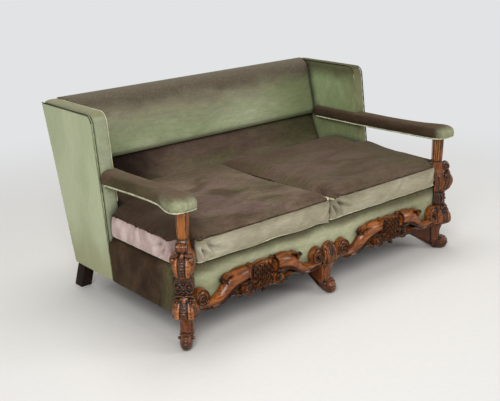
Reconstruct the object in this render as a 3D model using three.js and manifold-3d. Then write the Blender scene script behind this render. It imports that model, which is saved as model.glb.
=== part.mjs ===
// A two-seat upholstered sofa with square wings and a show-wood front: carved arm posts and scroll
// legs, and pierced scroll aprons, over a beech frame with coil springs.
// Millimetres. X runs along the seat, -Y is the front, Z is up, and the origin lies on the floor
// under the middle of the sofa.
import * as THREE from "three";
import * as BufferGeometryUtils from "three/addons/utils/BufferGeometryUtils.js";
import Module from "manifold-3d";

const wasm = await Module();
wasm.setup();

// Overall sizes
const width = 1700; // over the outer wing panels
const depth = 1078; // from the tips of the arms to the top of the back
const backHeight = 883; // upper edge of the outside back and of the outer wing panels
const undersideHeight = 148; // lower edge of all the borders
const deckHeight = 358; // platform under the seat cushions
const armHeight = 598; // underside of the arm pads at the posts
const backRake = 14.6; // degrees from upright
const wingLean = 6.7; // degrees from upright
const seam = 0.3; // clearance between pieces that touch
const overrun = 5; // how far a cutter passes the face that it cuts

// Frame
const railThickness = 28;
const railHeight = 106;
const railLift = 8; // rails above the lower edge of the borders
const centreRailHeight = 60;
const cornerBlockLeg = 90;
const cornerBlockHeight = 80;
const postThickness = 45; // back post above the seat, front to back
const postFlareHeight = 68; // over the seat rail the back post thins within this height
const wingFrameWidth = 55; // back post, wing upright and wing top rail, along X
const wingUprightDepth = 40;
const wingTopRailHeight = 30;
const topPadding = 15; // over the wing top rail and the top back rail
const armRailWidth = 46;
const armRailHeight = 24;
const armRailInset = 3; // inside the inner face of the wing frame
const armRise = 10; // the arm falls by this much from the post to the wing
const topRailHeight = 60;
const middleRailHeight = 50;
const middleRailDrop = 30; // top of the middle back rail under the crease
const lowerRailHeight = 50;
const lowerRailLift = 44; // lower back rail above the seat rails

// Rear feet
const footDepth = 61;
const footWidth = 55;
const rearLegDepth = 62; // front to back at the seat rail
const footSweep = 84; // the foot's back face behind the lower edge of the back
const footInset = 18; // the foot's outer face inside the leg's outer face above

// Upholstery thicknesses
const borderThickness = 14;
const outerPanelThickness = 11.7;
const backPanelThickness = 6;
const wingThickness = 77; // from the inner face of the wing to its outer face
const wingSkin = 9.7; // padding on the inner face of the wing
const wingFrontPadding = 14;
const wingDome = 12; // how far the pad swells above and before the outer panel
const wingCornerRadius = 40;
const wingFootDepth = 325; // outer wing panel, front to back, along its lower edge
const wingPadLift = 38; // lower end of the wing pad above the seat rail
const webbingThickness = 3.2;
const clothThickness = 1.6;
const stripWidth = 50;
const seatStripsAcross = 9;
const seatStripsAlong = 5;
const backStripsAcross = 8;
const backStripsAlong = 3;
const webbingChamfer = 60;
const webbingInset = 30; // inside the outer faces of the borders

// Front
const faceSetback = 68; // border's front face behind the tips of the arms
const legSideInset = 47; // axis of a corner leg inside the outer face of the side border
const legFrontInset = 9; // and behind the face of the front border
const legBackReach = 13; // flat back of a corner leg behind its axis
const frontRollDepth = 80; // padded front edge over the front rail
const frontRollRadius = 24;
const cornerRollLength = 25; // the padded edge runs on towards the corner by this much
const sideRollHeight = 67; // rounded top of the side border
const sideRollFlat = 28; // its level inner part

// Springs and seat
const springRows = 2;
const springColumns = 3; // in each half of the seat
const springHeight = 148;
const springRadius = 42;
const springWaist = 28;
const springWire = 3.6;
const springTurns = 4;
const hessianThickness = 2;
const deckCoverThickness = 5;

// Back pads, as distances before the outside face of the back
const creaseRise = 2; // crease between the two pads above the underside of the arms
const upperPadRise = 18; // top of the upper pad above the outside back
const upperPadDepth = 104;
const lowerPadDepth = 89;
const padEndRounding = 8;

// Seat cushions
const cushionOverhang = 20; // before the face of the front border
const cushionSeam = 1.5; // from the middle of the sofa to each cushion
const cushionEdge = 104; // height of the borders
const cushionCrown = 26;
const cushionSideInset = 14; // outer side inside the outer face of the side border
const cushionWingGap = 5;
const cushionNotch = 96; // from the outer face of the sofa to the notch at the post
const cushionNotchStep = 38;
const cushionPlay = 12; // between the front corner of a wing and the cushion
const cushionDraw = 6; // how far the seams draw in between the corners
const cushionBulge = 6; // how far the borders swell past the seams

// Arm pads
const armInset = 105; // inner side of the arm inside the outer face of the sofa
const armPadHeight = 60;
const armPaddle = 25; // how far the front end swells past the outer face of the sofa
const armStripHeight = 57;

// Carved legs
const legReach = 84; // knee and cup before the leg's axis
const legHalfWidth = 54;
const toeRadius = 38;
const toeSink = 2; // the toe is cut flat by this much
const toeForward = 36;
const toeHalfWidth = 25;
const heelReach = 190;
const heelThickness = 34;
const voluteRadius = 19;
const voluteForward = 43;
const voluteHalfWidth = 23;
const volutePlaceShare = 0.379; // middle of the upper volute, from the platform up to the arm
const centreLegSetback = 18; // axis of the centre leg behind the border's face
const centreCupShare = 0.75; // its cup reaches less than a corner leg's

// Aprons
const apronInnerX = 44; // inner end of each apron, from the middle of the sofa
const apronEndGap = 17; // outer end inside the axis of the corner leg
const apronDrop = 10; // lower edge below the borders
const apronRiseShare = 0.6476; // upper edge, from the lower edge of the borders up to the platform
const apronThickness = 28;
const scrollThickness = 40;
const endScrollRadius = 40;
const innerScrollRadius = 34;
const budRadius = 13;
const leafThickness = 44;

const degree = Math.PI / 180;
const half = 0.5;
const rakeSlope = Math.tan(backRake * degree);
const leanSlope = Math.tan(wingLean * degree);
const halfWidth = width * half;
const frontY = -depth * half;
const backY = depth * half;
const railBase = undersideHeight + railLift;
const railTop = railBase + railHeight;
const borderFaceY = frontY + faceSetback;
const borderInnerX = halfWidth - borderThickness;
const sideRailOuterX = borderInnerX - seam;
const sideRailInnerX = sideRailOuterX - railThickness;
const wingFrameOuterX = halfWidth - outerPanelThickness - seam;
const wingFrameInnerX = wingFrameOuterX - wingFrameWidth;
const wingInnerX = halfWidth - wingThickness;
const insideX = wingInnerX - seam;
const wingPadBase = railTop + wingPadLift;
const railFrontY = borderFaceY + borderThickness + seam;
const railBackY = railFrontY + railThickness;
const frameTop = backHeight - topPadding;
const creaseHeight = armHeight + creaseRise;
const upperPadTop = backHeight + upperPadRise;

// The outside of the back and the front edge of a wing at a height.
function outerBackY(z) {
  return backY - (backHeight - z) * rakeSlope;
}

const wingBackFootY = outerBackY(undersideHeight);
const wingFrontFootY = wingBackFootY - wingFootDepth;

function wingFrontY(z) {
  return wingFrontFootY + (z - undersideHeight) * leanSlope;
}

const postFrontY = wingBackFootY - rearLegDepth;
const postBack = backPanelThickness + seam; // before the outside of the back
const postFace = postBack + postThickness;
const railFace = postBack + railThickness;
const webbingBack = railFace + seam;
const webbingFace = webbingBack + webbingThickness;
const padBack = webbingFace + seam;

// A corner leg stands with its front turned out by 45 degrees, and the frame meets its flat back.
const legAxisX = halfWidth - legSideInset;
const legAxisY = borderFaceY + legFrontInset;
const mitreSum = legAxisX - legAxisY - Math.SQRT2 * (legBackReach + seam);

function mitreX(y) {
  return mitreSum + y;
}

function mitreY(x) {
  return x - mitreSum;
}

const armRearY = wingFrontY(armHeight) - wingDome - seam;

function armUnderZ(y) {
  return armHeight - (armRise * (y - legAxisY)) / (armRearY - legAxisY);
}

// Materials
function material(color, roughness, metalness) {
  return new THREE.MeshStandardMaterial({ color, roughness, metalness });
}

const walnut = material(0x7b4a26, 0.35, 0);
const stainedWood = material(0x33251d, 0.5, 0);
const beech = material(0xc6a777, 0.7, 0);
const sageVelvet = material(0xa9b48c, 0.85, 0);
const brownVelvet = material(0x665a4f, 0.85, 0);
const jute = material(0xa98f66, 0.95, 0);
const hessian = material(0xb59c70, 0.95, 0);
const stuffing = material(0xd8cdb4, 1, 0);
const blackCloth = material(0x2a2725, 0.95, 0);
const springSteel = material(0x85878a, 0.4, 1);

// Geometry helpers
function signedVolume(positions, index) {
  let volume = 0;
  const a = new THREE.Vector3();
  const b = new THREE.Vector3();
  const c = new THREE.Vector3();
  for (let i = 0; i < index.count; i += 3) {
    a.fromBufferAttribute(positions, index.getX(i));
    b.fromBufferAttribute(positions, index.getX(i + 1));
    c.fromBufferAttribute(positions, index.getX(i + 2));
    volume += a.dot(b.cross(c));
  }
  return volume;
}

// Shared vertices, no spare attributes, and faces turned out.
function tidyShell(geometry) {
  const bare = geometry.clone();
  bare.deleteAttribute("normal");
  bare.deleteAttribute("uv");
  const shell = BufferGeometryUtils.mergeVertices(bare);
  if (signedVolume(shell.attributes.position, shell.index) < 0) {
    const list = shell.index.array;
    for (let i = 0; i < list.length; i += 3) {
      const kept = list[i];
      list[i] = list[i + 1];
      list[i + 1] = kept;
    }
  }
  shell.computeVertexNormals();
  return shell;
}

function manifoldOf(geometry) {
  const shell = tidyShell(geometry);
  const vertProperties = Float32Array.from(shell.attributes.position.array);
  const triVerts = Uint32Array.from(shell.index.array);
  return new wasm.Manifold(new wasm.Mesh({ numProp: 3, vertProperties, triVerts }));
}

function geometryOf(manifold) {
  const mesh = manifold.getMesh();
  const geometry = new THREE.BufferGeometry();
  geometry.setAttribute("position", new THREE.BufferAttribute(mesh.vertProperties, 3));
  geometry.setIndex(new THREE.BufferAttribute(mesh.triVerts, 1));
  geometry.computeVertexNormals();
  return geometry;
}

function joined(first, ...others) {
  return geometryOf(others.reduce((sum, next) => sum.add(manifoldOf(next)), manifoldOf(first)));
}

function cut(first, ...cutters) {
  return geometryOf(cutters.reduce((rest, next) => rest.subtract(manifoldOf(next)), manifoldOf(first)));
}

function mirroredX(geometry) {
  return tidyShell(geometry.clone().scale(-1, 1, 1));
}

function shapeOf(points) {
  return new THREE.Shape(points.map(([x, y]) => new THREE.Vector2(x, y)));
}

function extruded(points, length) {
  return new THREE.ExtrudeGeometry(shapeOf(points), { depth: length, bevelEnabled: false });
}

// A prism on an outline of Y and Z points, between two places along X.
function alongX(points, x0, x1) {
  const axes = new THREE.Matrix4().makeBasis(
    new THREE.Vector3(0, 1, 0),
    new THREE.Vector3(0, 0, 1),
    new THREE.Vector3(1, 0, 0),
  );
  return extruded(points, x1 - x0).applyMatrix4(axes).translate(x0, 0, 0);
}

// A prism on an outline of X and Z points, between two places along Y.
function alongY(points, y0, y1) {
  const axes = new THREE.Matrix4().makeBasis(
    new THREE.Vector3(1, 0, 0),
    new THREE.Vector3(0, 0, 1),
    new THREE.Vector3(0, -1, 0),
  );
  return extruded(points, y1 - y0).applyMatrix4(axes).translate(0, y1, 0);
}

// A prism on an outline of X and Y points, between two heights.
function alongZ(points, z0, z1) {
  return extruded(points, z1 - z0).translate(0, 0, z0);
}

function blockBetween(x0, x1, y0, y1, z0, z1) {
  const block = new THREE.BoxGeometry(x1 - x0, y1 - y0, z1 - z0);
  return block.translate((x0 + x1) * half, (y0 + y1) * half, (z0 + z1) * half);
}

// A closed skin over rings of points, each end closed by a fan from its middle.
function loft(rings) {
  const count = rings[0].length;
  const positions = rings.flat().flatMap((point) => point.toArray());
  const faces = [];
  for (let r = 0; r + 1 < rings.length; r += 1) {
    for (let i = 0; i < count; i += 1) {
      const a = r * count + i;
      const b = r * count + ((i + 1) % count);
      faces.push(a, b, b + count, a, b + count, a + count);
    }
  }
  const ends = [
    [0, false],
    [rings.length - 1, true],
  ];
  ends.forEach(([r, last]) => {
    const middle = new THREE.Vector3();
    rings[r].forEach((point) => middle.addScaledVector(point, 1 / count));
    const centre = positions.length / 3;
    positions.push(...middle.toArray());
    for (let i = 0; i < count; i += 1) {
      const a = r * count + i;
      const b = r * count + ((i + 1) % count);
      faces.push(centre, last ? a : b, last ? b : a);
    }
  });
  const geometry = new THREE.BufferGeometry();
  geometry.setAttribute("position", new THREE.Float32BufferAttribute(positions, 3));
  geometry.setIndex(faces);
  return tidyShell(geometry);
}

// Points built against a plumb back are leaned to the rake of the real one.
function raked(geometry) {
  const positions = geometry.attributes.position;
  for (let i = 0; i < positions.count; i += 1) {
    positions.setY(i, positions.getY(i) + outerBackY(positions.getZ(i)));
  }
  return tidyShell(geometry);
}

const group = new THREE.Group();
const seatFrame = new THREE.Group();
const backFrame = new THREE.Group();
const showWood = new THREE.Group();
const suspension = new THREE.Group();
const covers = new THREE.Group();
const looseCushions = new THREE.Group();
group.add(seatFrame, backFrame, showWood, suspension, covers, looseCushions);

function place(parent, name, geometry, finish) {
  const mesh = new THREE.Mesh(tidyShell(geometry), finish);
  mesh.name = name;
  parent.add(mesh);
  return mesh;
}

function placePair(parent, name, rightGeometry, finish) {
  place(parent, `right_${name}`, rightGeometry, finish);
  place(parent, `left_${name}`, mirroredX(rightGeometry), finish);
}

// Seat frame
const railEndX = Math.min(mitreX(railBackY), sideRailInnerX - seam);
const frontRailPlan = [
  [-mitreX(railFrontY), railFrontY],
  [mitreX(railFrontY), railFrontY],
  [railEndX, railBackY],
  [-railEndX, railBackY],
];
place(seatFrame, "front_seat_rail", alongZ(frontRailPlan, railBase, railTop), beech);

const sideRailPlan = [
  [sideRailInnerX, mitreY(sideRailInnerX)],
  [sideRailOuterX, mitreY(sideRailOuterX)],
  [sideRailOuterX, postFrontY - seam],
  [sideRailInnerX, postFrontY - seam],
];
placePair(seatFrame, "seat_rail", alongZ(sideRailPlan, railBase, railTop), beech);

const postInnerReach = wingFrameInnerX - seam;
const rearRail = blockBetween(
  -postInnerReach,
  postInnerReach,
  postFrontY,
  postFrontY + railThickness,
  railBase,
  railTop,
);
place(seatFrame, "rear_seat_rail", rearRail, beech);

const centreRail = blockBetween(
  -railThickness * half,
  railThickness * half,
  railBackY + seam,
  postFrontY - seam,
  railBase,
  railBase + centreRailHeight,
);
place(seatFrame, "centre_seat_rail", centreRail, beech);

function cornerBlock(cornerY, inward) {
  const x = sideRailInnerX - seam;
  const plan = [
    [x, cornerY],
    [x, cornerY + inward * cornerBlockLeg],
    [x - cornerBlockLeg, cornerY],
  ];
  const base = railBase + (railHeight - cornerBlockHeight) * half;
  return alongZ(plan, base, base + cornerBlockHeight);
}

placePair(seatFrame, "front_corner_block", cornerBlock(railBackY + seam, 1), beech);
placePair(seatFrame, "rear_corner_block", cornerBlock(postFrontY - seam, -1), beech);

// Back posts, each one piece with its rear leg, which leans back and in under the border
function backPost() {
  const flareTop = railTop + postFlareHeight;
  const upper = [
    [outerBackY(undersideHeight) - postBack, undersideHeight],
    [outerBackY(frameTop) - postBack, frameTop],
    [outerBackY(frameTop) - postFace, frameTop],
    [outerBackY(flareTop) - postFace, flareTop],
    [postFrontY, railTop],
    [postFrontY, undersideHeight],
  ];
  const lower = [
    [wingBackFootY + footSweep - footDepth, 0],
    [wingBackFootY + footSweep, 0],
    [outerBackY(undersideHeight) - postBack, undersideHeight],
    [postFrontY, undersideHeight],
  ];
  const leg = alongX(lower, wingFrameInnerX, wingFrameOuterX);
  const positions = leg.attributes.position;
  for (let i = 0; i < positions.count; i += 1) {
    const drop = 1 - positions.getZ(i) / undersideHeight;
    const across = (positions.getX(i) - wingFrameInnerX) / wingFrameWidth;
    const narrow = (wingFrameWidth - footWidth) * (1 - across);
    positions.setX(i, positions.getX(i) - (footInset - narrow) * drop);
  }
  return joined(alongX(upper, wingFrameInnerX, wingFrameOuterX), leg);
}

placePair(backFrame, "back_post", backPost(), stainedWood);

// Rails of the back, leaned with it
function backRail(z0, z1) {
  return raked(blockBetween(-postInnerReach, postInnerReach, -railFace, -postBack, z0, z1));
}

const middleRailTop = creaseHeight + middleRailHeight - middleRailDrop;
const lowerRailBase = railTop + lowerRailLift;
place(backFrame, "top_back_rail", backRail(frameTop - topRailHeight, frameTop), beech);
place(backFrame, "middle_back_rail", backRail(middleRailTop - middleRailHeight, middleRailTop), beech);
place(backFrame, "lower_back_rail", backRail(lowerRailBase, lowerRailBase + lowerRailHeight), beech);

// Wing frame
const wingRailBase = frameTop - wingTopRailHeight;

function uprightOutline(z0, z1) {
  return [
    [wingFrontY(z0) + wingFrontPadding, z0],
    [wingFrontY(z1) + wingFrontPadding, z1],
    [wingFrontY(z1) + wingFrontPadding + wingUprightDepth, z1],
    [wingFrontY(z0) + wingFrontPadding + wingUprightDepth, z0],
  ];
}

const upright = alongX(uprightOutline(railTop + seam, wingRailBase - seam), wingFrameInnerX, wingFrameOuterX);
placePair(backFrame, "wing_upright", upright, beech);

const wingTopOutline = [
  [wingFrontY(wingRailBase) + wingFrontPadding, wingRailBase],
  [wingFrontY(frameTop) + wingFrontPadding, frameTop],
  [outerBackY(frameTop) - postFace - seam, frameTop],
  [outerBackY(wingRailBase) - postFace - seam, wingRailBase],
];
const wingTopRail = alongX(wingTopOutline, wingFrameInnerX, wingFrameOuterX);
placePair(backFrame, "wing_top_rail", wingTopRail, beech);

// Arm rails, from the wing upright to the top of the front post
function armRailOutline(play) {
  const frontEnd = legAxisY - armRailHeight - play;
  const rear = (z) => wingFrontY(z) + wingFrontPadding - seam + play;
  const rearLow = rear(armHeight - armRise);
  return [
    [frontEnd, armUnderZ(frontEnd) - play],
    [rearLow, armUnderZ(rearLow) - play],
    [rear(armHeight - armRise + armRailHeight), armUnderZ(rearLow) + armRailHeight + play],
    [frontEnd, armUnderZ(frontEnd) + armRailHeight + play],
  ];
}

const armRailX0 = wingFrameInnerX + armRailInset;
const armRailX1 = armRailX0 + armRailWidth;
placePair(backFrame, "arm_rail", alongX(armRailOutline(0), armRailX0, armRailX1), beech);

// Carved legs: each row gives the level, the reach of the front, the back and half the width.
// Levels are shares of the way from the platform up to the arm for the post, from the lower edge
// of the borders up to the platform for the knee and the cup, and from the floor up to that edge
// for the shaft. The rest are shares of the leg's reach and half width.
const postSectionShares = [
  [1, 0.34, -0.31, 0.46],
  [0.875, 0.35, -0.31, 0.46],
  [0.576, 0.31, -0.31, 0.44],
  [0.489, 0.33, -0.3, 0.43],
  [0.439, 0.6, -0.29, 0.44],
  [0.365, 0.64, -0.29, 0.45],
  [0.315, 0.56, -0.29, 0.5],
  [0.265, 0.62, -0.24, 0.74],
  [0.19, 0.88, -0.2, 0.88],
  [0.078, 1, -0.18, 0.89],
];
const kneeSectionShares = [
  [1, 0.95, -0.155, 0.85],
  [0.89, 0.83, -0.155, 0.74],
  [0.79, 0.62, -0.155, 0.64],
  [0.719, 0.52, -0.155, 0.66],
  [0.662, 0.49, -0.155, 0.69],
];
const cupSectionShares = [
  [0.477, 0.49, -0.155, 0.66],
  [0.42, 0.56, -0.155, 0.6],
  [0.349, 0.69, -0.155, 0.66],
  [0.263, 0.86, -0.155, 0.82],
  [0.178, 0.98, -0.155, 0.94],
  [0.093, 0.97, -0.155, 1],
];
const shaftSectionShares = [
  [0.998, 0.93, -0.25, 0.95],
  [0.954, 0.72, -0.25, 0.78],
  [0.877, 0.49, -0.25, 0.58],
  [0.687, 0.34, -0.22, 0.53],
  [0.517, 0.34, -0.2, 0.52],
  [0.424, 0.42, -0.2, 0.6],
  [0.364, 0.5, -0.19, 0.68],
  [0.303, 0.45, -0.17, 0.56],
  [0.121, 0.42, -0.12, 0.44],
];
const centreTopShare = 0.49; // top of the centre leg, between the same levels as the cup
const bluntSideShare = 0.4; // the sides run straight over this share of the depth

// Rows with their levels turned into heights between two given ones.
function levelled(rows, low, high) {
  return rows.map(([level, ...rest]) => [low + level * (high - low), ...rest]);
}

const postRows = levelled(postSectionShares, deckHeight, armHeight);
const kneeRows = levelled(kneeSectionShares, undersideHeight, deckHeight);
const cupRows = levelled(cupSectionShares, undersideHeight, deckHeight);
const shaftRows = levelled(shaftSectionShares, 0, undersideHeight);

// One level section of a leg: a flat back, straight sides and a round front.
function legRing([z, frontShare, backShare, halfShare], reach, clearance) {
  const front = frontShare * reach + clearance;
  const back = backShare * legReach - clearance;
  const side = halfShare * legHalfWidth + clearance;
  const turn = back + (front - back) * bluntSideShare;
  const ring = [new THREE.Vector3(back, -side, z)];
  const steps = 6;
  for (let i = 0; i <= steps; i += 1) {
    const angle = (i / steps - half) * Math.PI;
    const u = turn + Math.cos(angle) * (front - turn);
    ring.push(new THREE.Vector3(u, Math.sin(angle) * side, z));
  }
  ring.push(new THREE.Vector3(back, side, z));
  return ring;
}

// The sloping top of the shaft carries the border's lower edge, so it stops just under it.
function footPieces(reach, clearance) {
  const top = undersideHeight - seam;
  const rows = shaftRows.map((row) => [Math.min(row[0], top), ...row.slice(1)]);
  const shaft = loft(rows.map((row) => legRing(row, reach, clearance)));
  const heel = new THREE.Shape();
  heel.moveTo(0, top);
  heel.lineTo(-heelReach, top);
  heel.quadraticCurveTo(-heelReach * 0.94, top * 0.72, -heelReach * 0.7, top * 0.54);
  heel.quadraticCurveTo(-heelReach * 0.3, top * 0.22, -toeSink, 0);
  heel.lineTo(toeForward, 0);
  heel.lineTo(toeForward, toeRadius);
  const bracket = new THREE.ExtrudeGeometry(heel, {
    depth: heelThickness + clearance * 2,
    bevelEnabled: false,
    curveSegments: 5,
  });
  bracket.rotateX(90 * degree).translate(0, (heelThickness + clearance * 2) * half, 0);
  const toe = new THREE.CylinderGeometry(
    toeRadius + clearance,
    toeRadius + clearance,
    toeHalfWidth * 2 + clearance * 2,
    16,
  ).translate(toeForward, 0, toeRadius - toeSink);
  const reachAll = heelReach + legReach;
  const floor = blockBetween(-reachAll, reachAll, -legReach, legReach, -toeRadius, 0);
  return { shaft, bracket, toe, floor };
}

function cornerLeg(clearance) {
  const postTop = armUnderZ(legAxisY + legReach * bluntSideShare) - seam;
  const underArm = postRows.map((row) => [Math.min(row[0], postTop), ...row.slice(1)]);
  const last = cupRows[cupRows.length - 1];
  const foot = [undersideHeight - seam * 2, ...last.slice(1)];
  const rows = [...underArm, ...kneeRows, ...cupRows, foot];
  const upper = loft(rows.map((row) => legRing(row, legReach, clearance)));
  const volute = new THREE.CylinderGeometry(
    voluteRadius + clearance,
    voluteRadius + clearance,
    voluteHalfWidth * 2 + clearance * 2,
    14,
  ).translate(voluteForward, 0, deckHeight + volutePlaceShare * (armHeight - deckHeight));
  const { shaft, bracket, toe, floor } = footPieces(legReach, clearance);
  return cut(joined(upper, volute, shaft, bracket, toe), floor);
}

// Turns a leg's outward direction from +X to the corner, and sets it on its axis.
function atCorner(geometry) {
  return geometry.clone().rotateZ(-45 * degree).translate(legAxisX, legAxisY, 0);
}

function centreLeg(clearance) {
  const top = undersideHeight + centreTopShare * (deckHeight - undersideHeight);
  const faceGap = centreLegSetback + seam;
  const reach = legReach * centreCupShare;
  const flatBack = (row, height) => [height, row[1], faceGap / legReach, row[3]];
  const rows = cupRows.map((row, i) => flatBack(row, i === 0 ? top : row[0]));
  const last = rows[rows.length - 1];
  rows.push([undersideHeight - seam * 2, ...last.slice(1)]);
  const block = loft(rows.map((row) => legRing(row, reach, clearance)));
  const { shaft, bracket, toe, floor } = footPieces(reach, clearance);
  const leg = cut(joined(block, shaft, bracket, toe), floor);
  return leg.rotateZ(-90 * degree).translate(0, borderFaceY + centreLegSetback, 0);
}

placePair(showWood, "front_leg", atCorner(cornerLeg(0)), walnut);
place(showWood, "centre_leg", centreLeg(0), walnut);

// Aprons: half of the outline, from the middle of the leaf's top out to the end scroll and back
// along the lower edge, as shares of half the length and of the height.
const apronTopShares = [
  [0, 1],
  [0.08, 0.99],
  [0.16, 0.93],
  [0.2, 0.9],
  [0.28, 0.95],
  [0.36, 0.945],
  [0.45, 0.87],
  [0.53, 0.81],
  [0.6, 0.81],
  [0.615, 0.7],
  [0.61, 0.56],
  [0.66, 0.44],
  [0.71, 0.35],
  [0.76, 0.31],
  [0.8, 0.36],
];
const apronBottomShares = [
  [0.94, 0.14],
  [0.86, 0.08],
  [0.77, 0.05],
  [0.67, 0.08],
  [0.58, 0.15],
  [0.48, 0.24],
  [0.41, 0.35],
  [0.365, 0.44],
  [0.3, 0.46],
  [0.22, 0.4],
  [0.18, 0.2],
  [0.14, 0.03],
  [0.06, 0.02],
  [0.02, 0],
];
const endScrollShares = [0.905, 0.46];
const innerScrollShares = [0.235, 0.265];
const upperBudShares = [0.6, 0.77];
const lowerBudShares = [0.335, 0.13];

const apronOuterX = legAxisX - apronEndGap;
const apronHalfLength = (apronOuterX - apronInnerX) * half;
const apronMiddle = (apronOuterX + apronInnerX) * half;
const apronBase = undersideHeight - apronDrop;
const apronHeight = apronDrop + (deckHeight - undersideHeight) * apronRiseShare;

function scrollDisc(x, z, radius, thickness) {
  const disc = new THREE.CylinderGeometry(radius * 0.9, radius, thickness, 18);
  return disc.rotateX(180 * degree).translate(x, borderFaceY - seam - thickness * half, z);
}

function apronPoint([alongShare, heightShare], side) {
  return [side * alongShare * apronHalfLength, apronBase + heightShare * apronHeight];
}

function apron() {
  const face = borderFaceY - seam;
  const right = [...apronTopShares, ...apronBottomShares];
  const outline = [
    ...right.map((row) => apronPoint(row, 1)),
    ...right.slice(1).reverse().map((row) => apronPoint(row, -1)),
  ];
  const plate = alongY(outline, face - apronThickness, face);
  const extras = [];
  [-1, 1].forEach((side) => {
    const end = apronPoint(endScrollShares, side);
    const inner = apronPoint(innerScrollShares, side);
    extras.push(scrollDisc(end[0], end[1], endScrollRadius, scrollThickness));
    extras.push(scrollDisc(inner[0], inner[1], innerScrollRadius, scrollThickness));
    [upperBudShares, lowerBudShares].forEach((row) => {
      const [x, z] = apronPoint(row, side);
      const bud = new THREE.SphereGeometry(budRadius, 10, 8);
      extras.push(bud.translate(x, face - apronThickness * half, z));
    });
  });
  const leaf = new THREE.SphereGeometry(1, 14, 10);
  const leafWidth = apronHalfLength * 0.17;
  leaf.scale(leafWidth, leafThickness - apronThickness * half, apronHeight * 0.48);
  leaf.translate(0, face - apronThickness * half, apronBase + apronHeight * half);
  const behind = blockBetween(
    -apronHalfLength - overrun,
    apronHalfLength + overrun,
    face,
    face + leafThickness,
    apronBase - overrun,
    apronBase + apronHeight + overrun,
  );
  const body = cut(joined(plate, leaf, ...extras), behind).translate(apronMiddle, 0, 0);
  return cut(body, atCorner(cornerLeg(seam)), centreLeg(seam));
}

placePair(showWood, "apron", apron(), walnut);

// Seat suspension: the gaps between crossing strips, as outlines
function latticeHoles(x0, x1, y0, y1, across, along) {
  const holes = [];
  const cellX = (x1 - x0 - stripWidth) / (across - 1);
  const cellY = (y1 - y0 - stripWidth) / (along - 1);
  for (let i = 0; i + 1 < across; i += 1) {
    for (let j = 0; j + 1 < along; j += 1) {
      const left = x0 + stripWidth + i * cellX;
      const low = y0 + stripWidth + j * cellY;
      const right = left + cellX - stripWidth;
      const high = low + cellY - stripWidth;
      holes.push([
        [left, low],
        [left, high],
        [right, high],
        [right, low],
      ]);
    }
  }
  return holes;
}

const webX = halfWidth - webbingInset;
const webFrontY = borderFaceY + webbingInset;
const webBackY = postFrontY + railThickness * half;
const webPlan = [
  [-webX + webbingChamfer, webFrontY],
  [webX - webbingChamfer, webFrontY],
  [webX, webFrontY + webbingChamfer],
  [webX, webBackY - webbingChamfer],
  [webX - webbingChamfer, webBackY],
  [-webX + webbingChamfer, webBackY],
  [-webX, webBackY - webbingChamfer],
  [-webX, webFrontY + webbingChamfer],
];
const webTop = railBase - seam;
const webBase = webTop - webbingThickness;
const seatHoles = latticeHoles(
  -webX + webbingChamfer,
  webX - webbingChamfer,
  webFrontY,
  webBackY,
  seatStripsAcross,
  seatStripsAlong,
);
const seatGaps = seatHoles.map((hole) => alongZ(hole, webBase - overrun, webTop + overrun));
place(suspension, "seat_webbing", cut(alongZ(webPlan, webBase, webTop), ...seatGaps), jute);
const clothTop = webBase - seam;
place(suspension, "bottom_cloth", alongZ(webPlan, clothTop - clothThickness, clothTop), blackCloth);

const springBase = webTop + seam;
const hessianBase = springBase + springHeight + seam;

// A coil spring that narrows to its waist: a closed tube swept round a helix.
function coilSpring() {
  const stepsPerTurn = 8;
  const sides = 5;
  const steps = springTurns * stepsPerTurn;
  const wire = springWire * half;
  const rings = [];
  for (let i = 0; i <= steps; i += 1) {
    const share = i / steps;
    const angle = (i / stepsPerTurn) * 2 * Math.PI;
    const radius = springWaist + (springRadius - springWaist) * (2 * share - 1) ** 2;
    const height = wire + share * (springHeight - springWire);
    const ring = [];
    for (let k = 0; k < sides; k += 1) {
      const turn = (k / sides) * 2 * Math.PI;
      const reach = radius + Math.cos(turn) * wire;
      const z = height + Math.sin(turn) * wire;
      ring.push(new THREE.Vector3(Math.cos(angle) * reach, Math.sin(angle) * reach, z));
    }
    rings.push(ring);
  }
  return loft(rings);
}

const springPitchX = (sideRailInnerX - railThickness * half) / springColumns;
const springPitchY = (postFrontY - railBackY) / springRows;
const spring = coilSpring();
const leastTurnGap = springHeight / springTurns - springWire;
console.log(`spring: least gap between turns about ${leastTurnGap.toFixed(1)} mm`);
[
  ["left", -1],
  ["right", 1],
].forEach(([sideName, side]) => {
  for (let row = 0; row < springRows; row += 1) {
    for (let column = 0; column < springColumns; column += 1) {
      const name = `${sideName}_spring_${row * springColumns + column + 1}`;
      const mesh = place(suspension, name, spring, springSteel);
      const x = side * (railThickness * half + (column + half) * springPitchX);
      const y = railBackY + (row + half) * springPitchY;
      mesh.position.set(x, y, springBase);
    }
  }
});

const rollBackY = borderFaceY + frontRollDepth;
const padFootY = outerBackY(railTop) - lowerPadDepth + (lowerPadDepth - padBack) * 0.2;
const seatFrontY = rollBackY + seam;
const seatBackY = padFootY - seam;

function seatLayer(z0, z1) {
  return blockBetween(-insideX, insideX, seatFrontY, seatBackY, z0, z1);
}

const stuffingBase = hessianBase + hessianThickness + seam;
const deckCoverBase = deckHeight - deckCoverThickness;
place(suspension, "spring_hessian", seatLayer(hessianBase, hessianBase + hessianThickness), hessian);
place(suspension, "seat_stuffing", seatLayer(stuffingBase, deckCoverBase - seam), stuffing);
place(covers, "platform_cover", seatLayer(deckCoverBase, deckHeight), brownVelvet);

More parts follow.
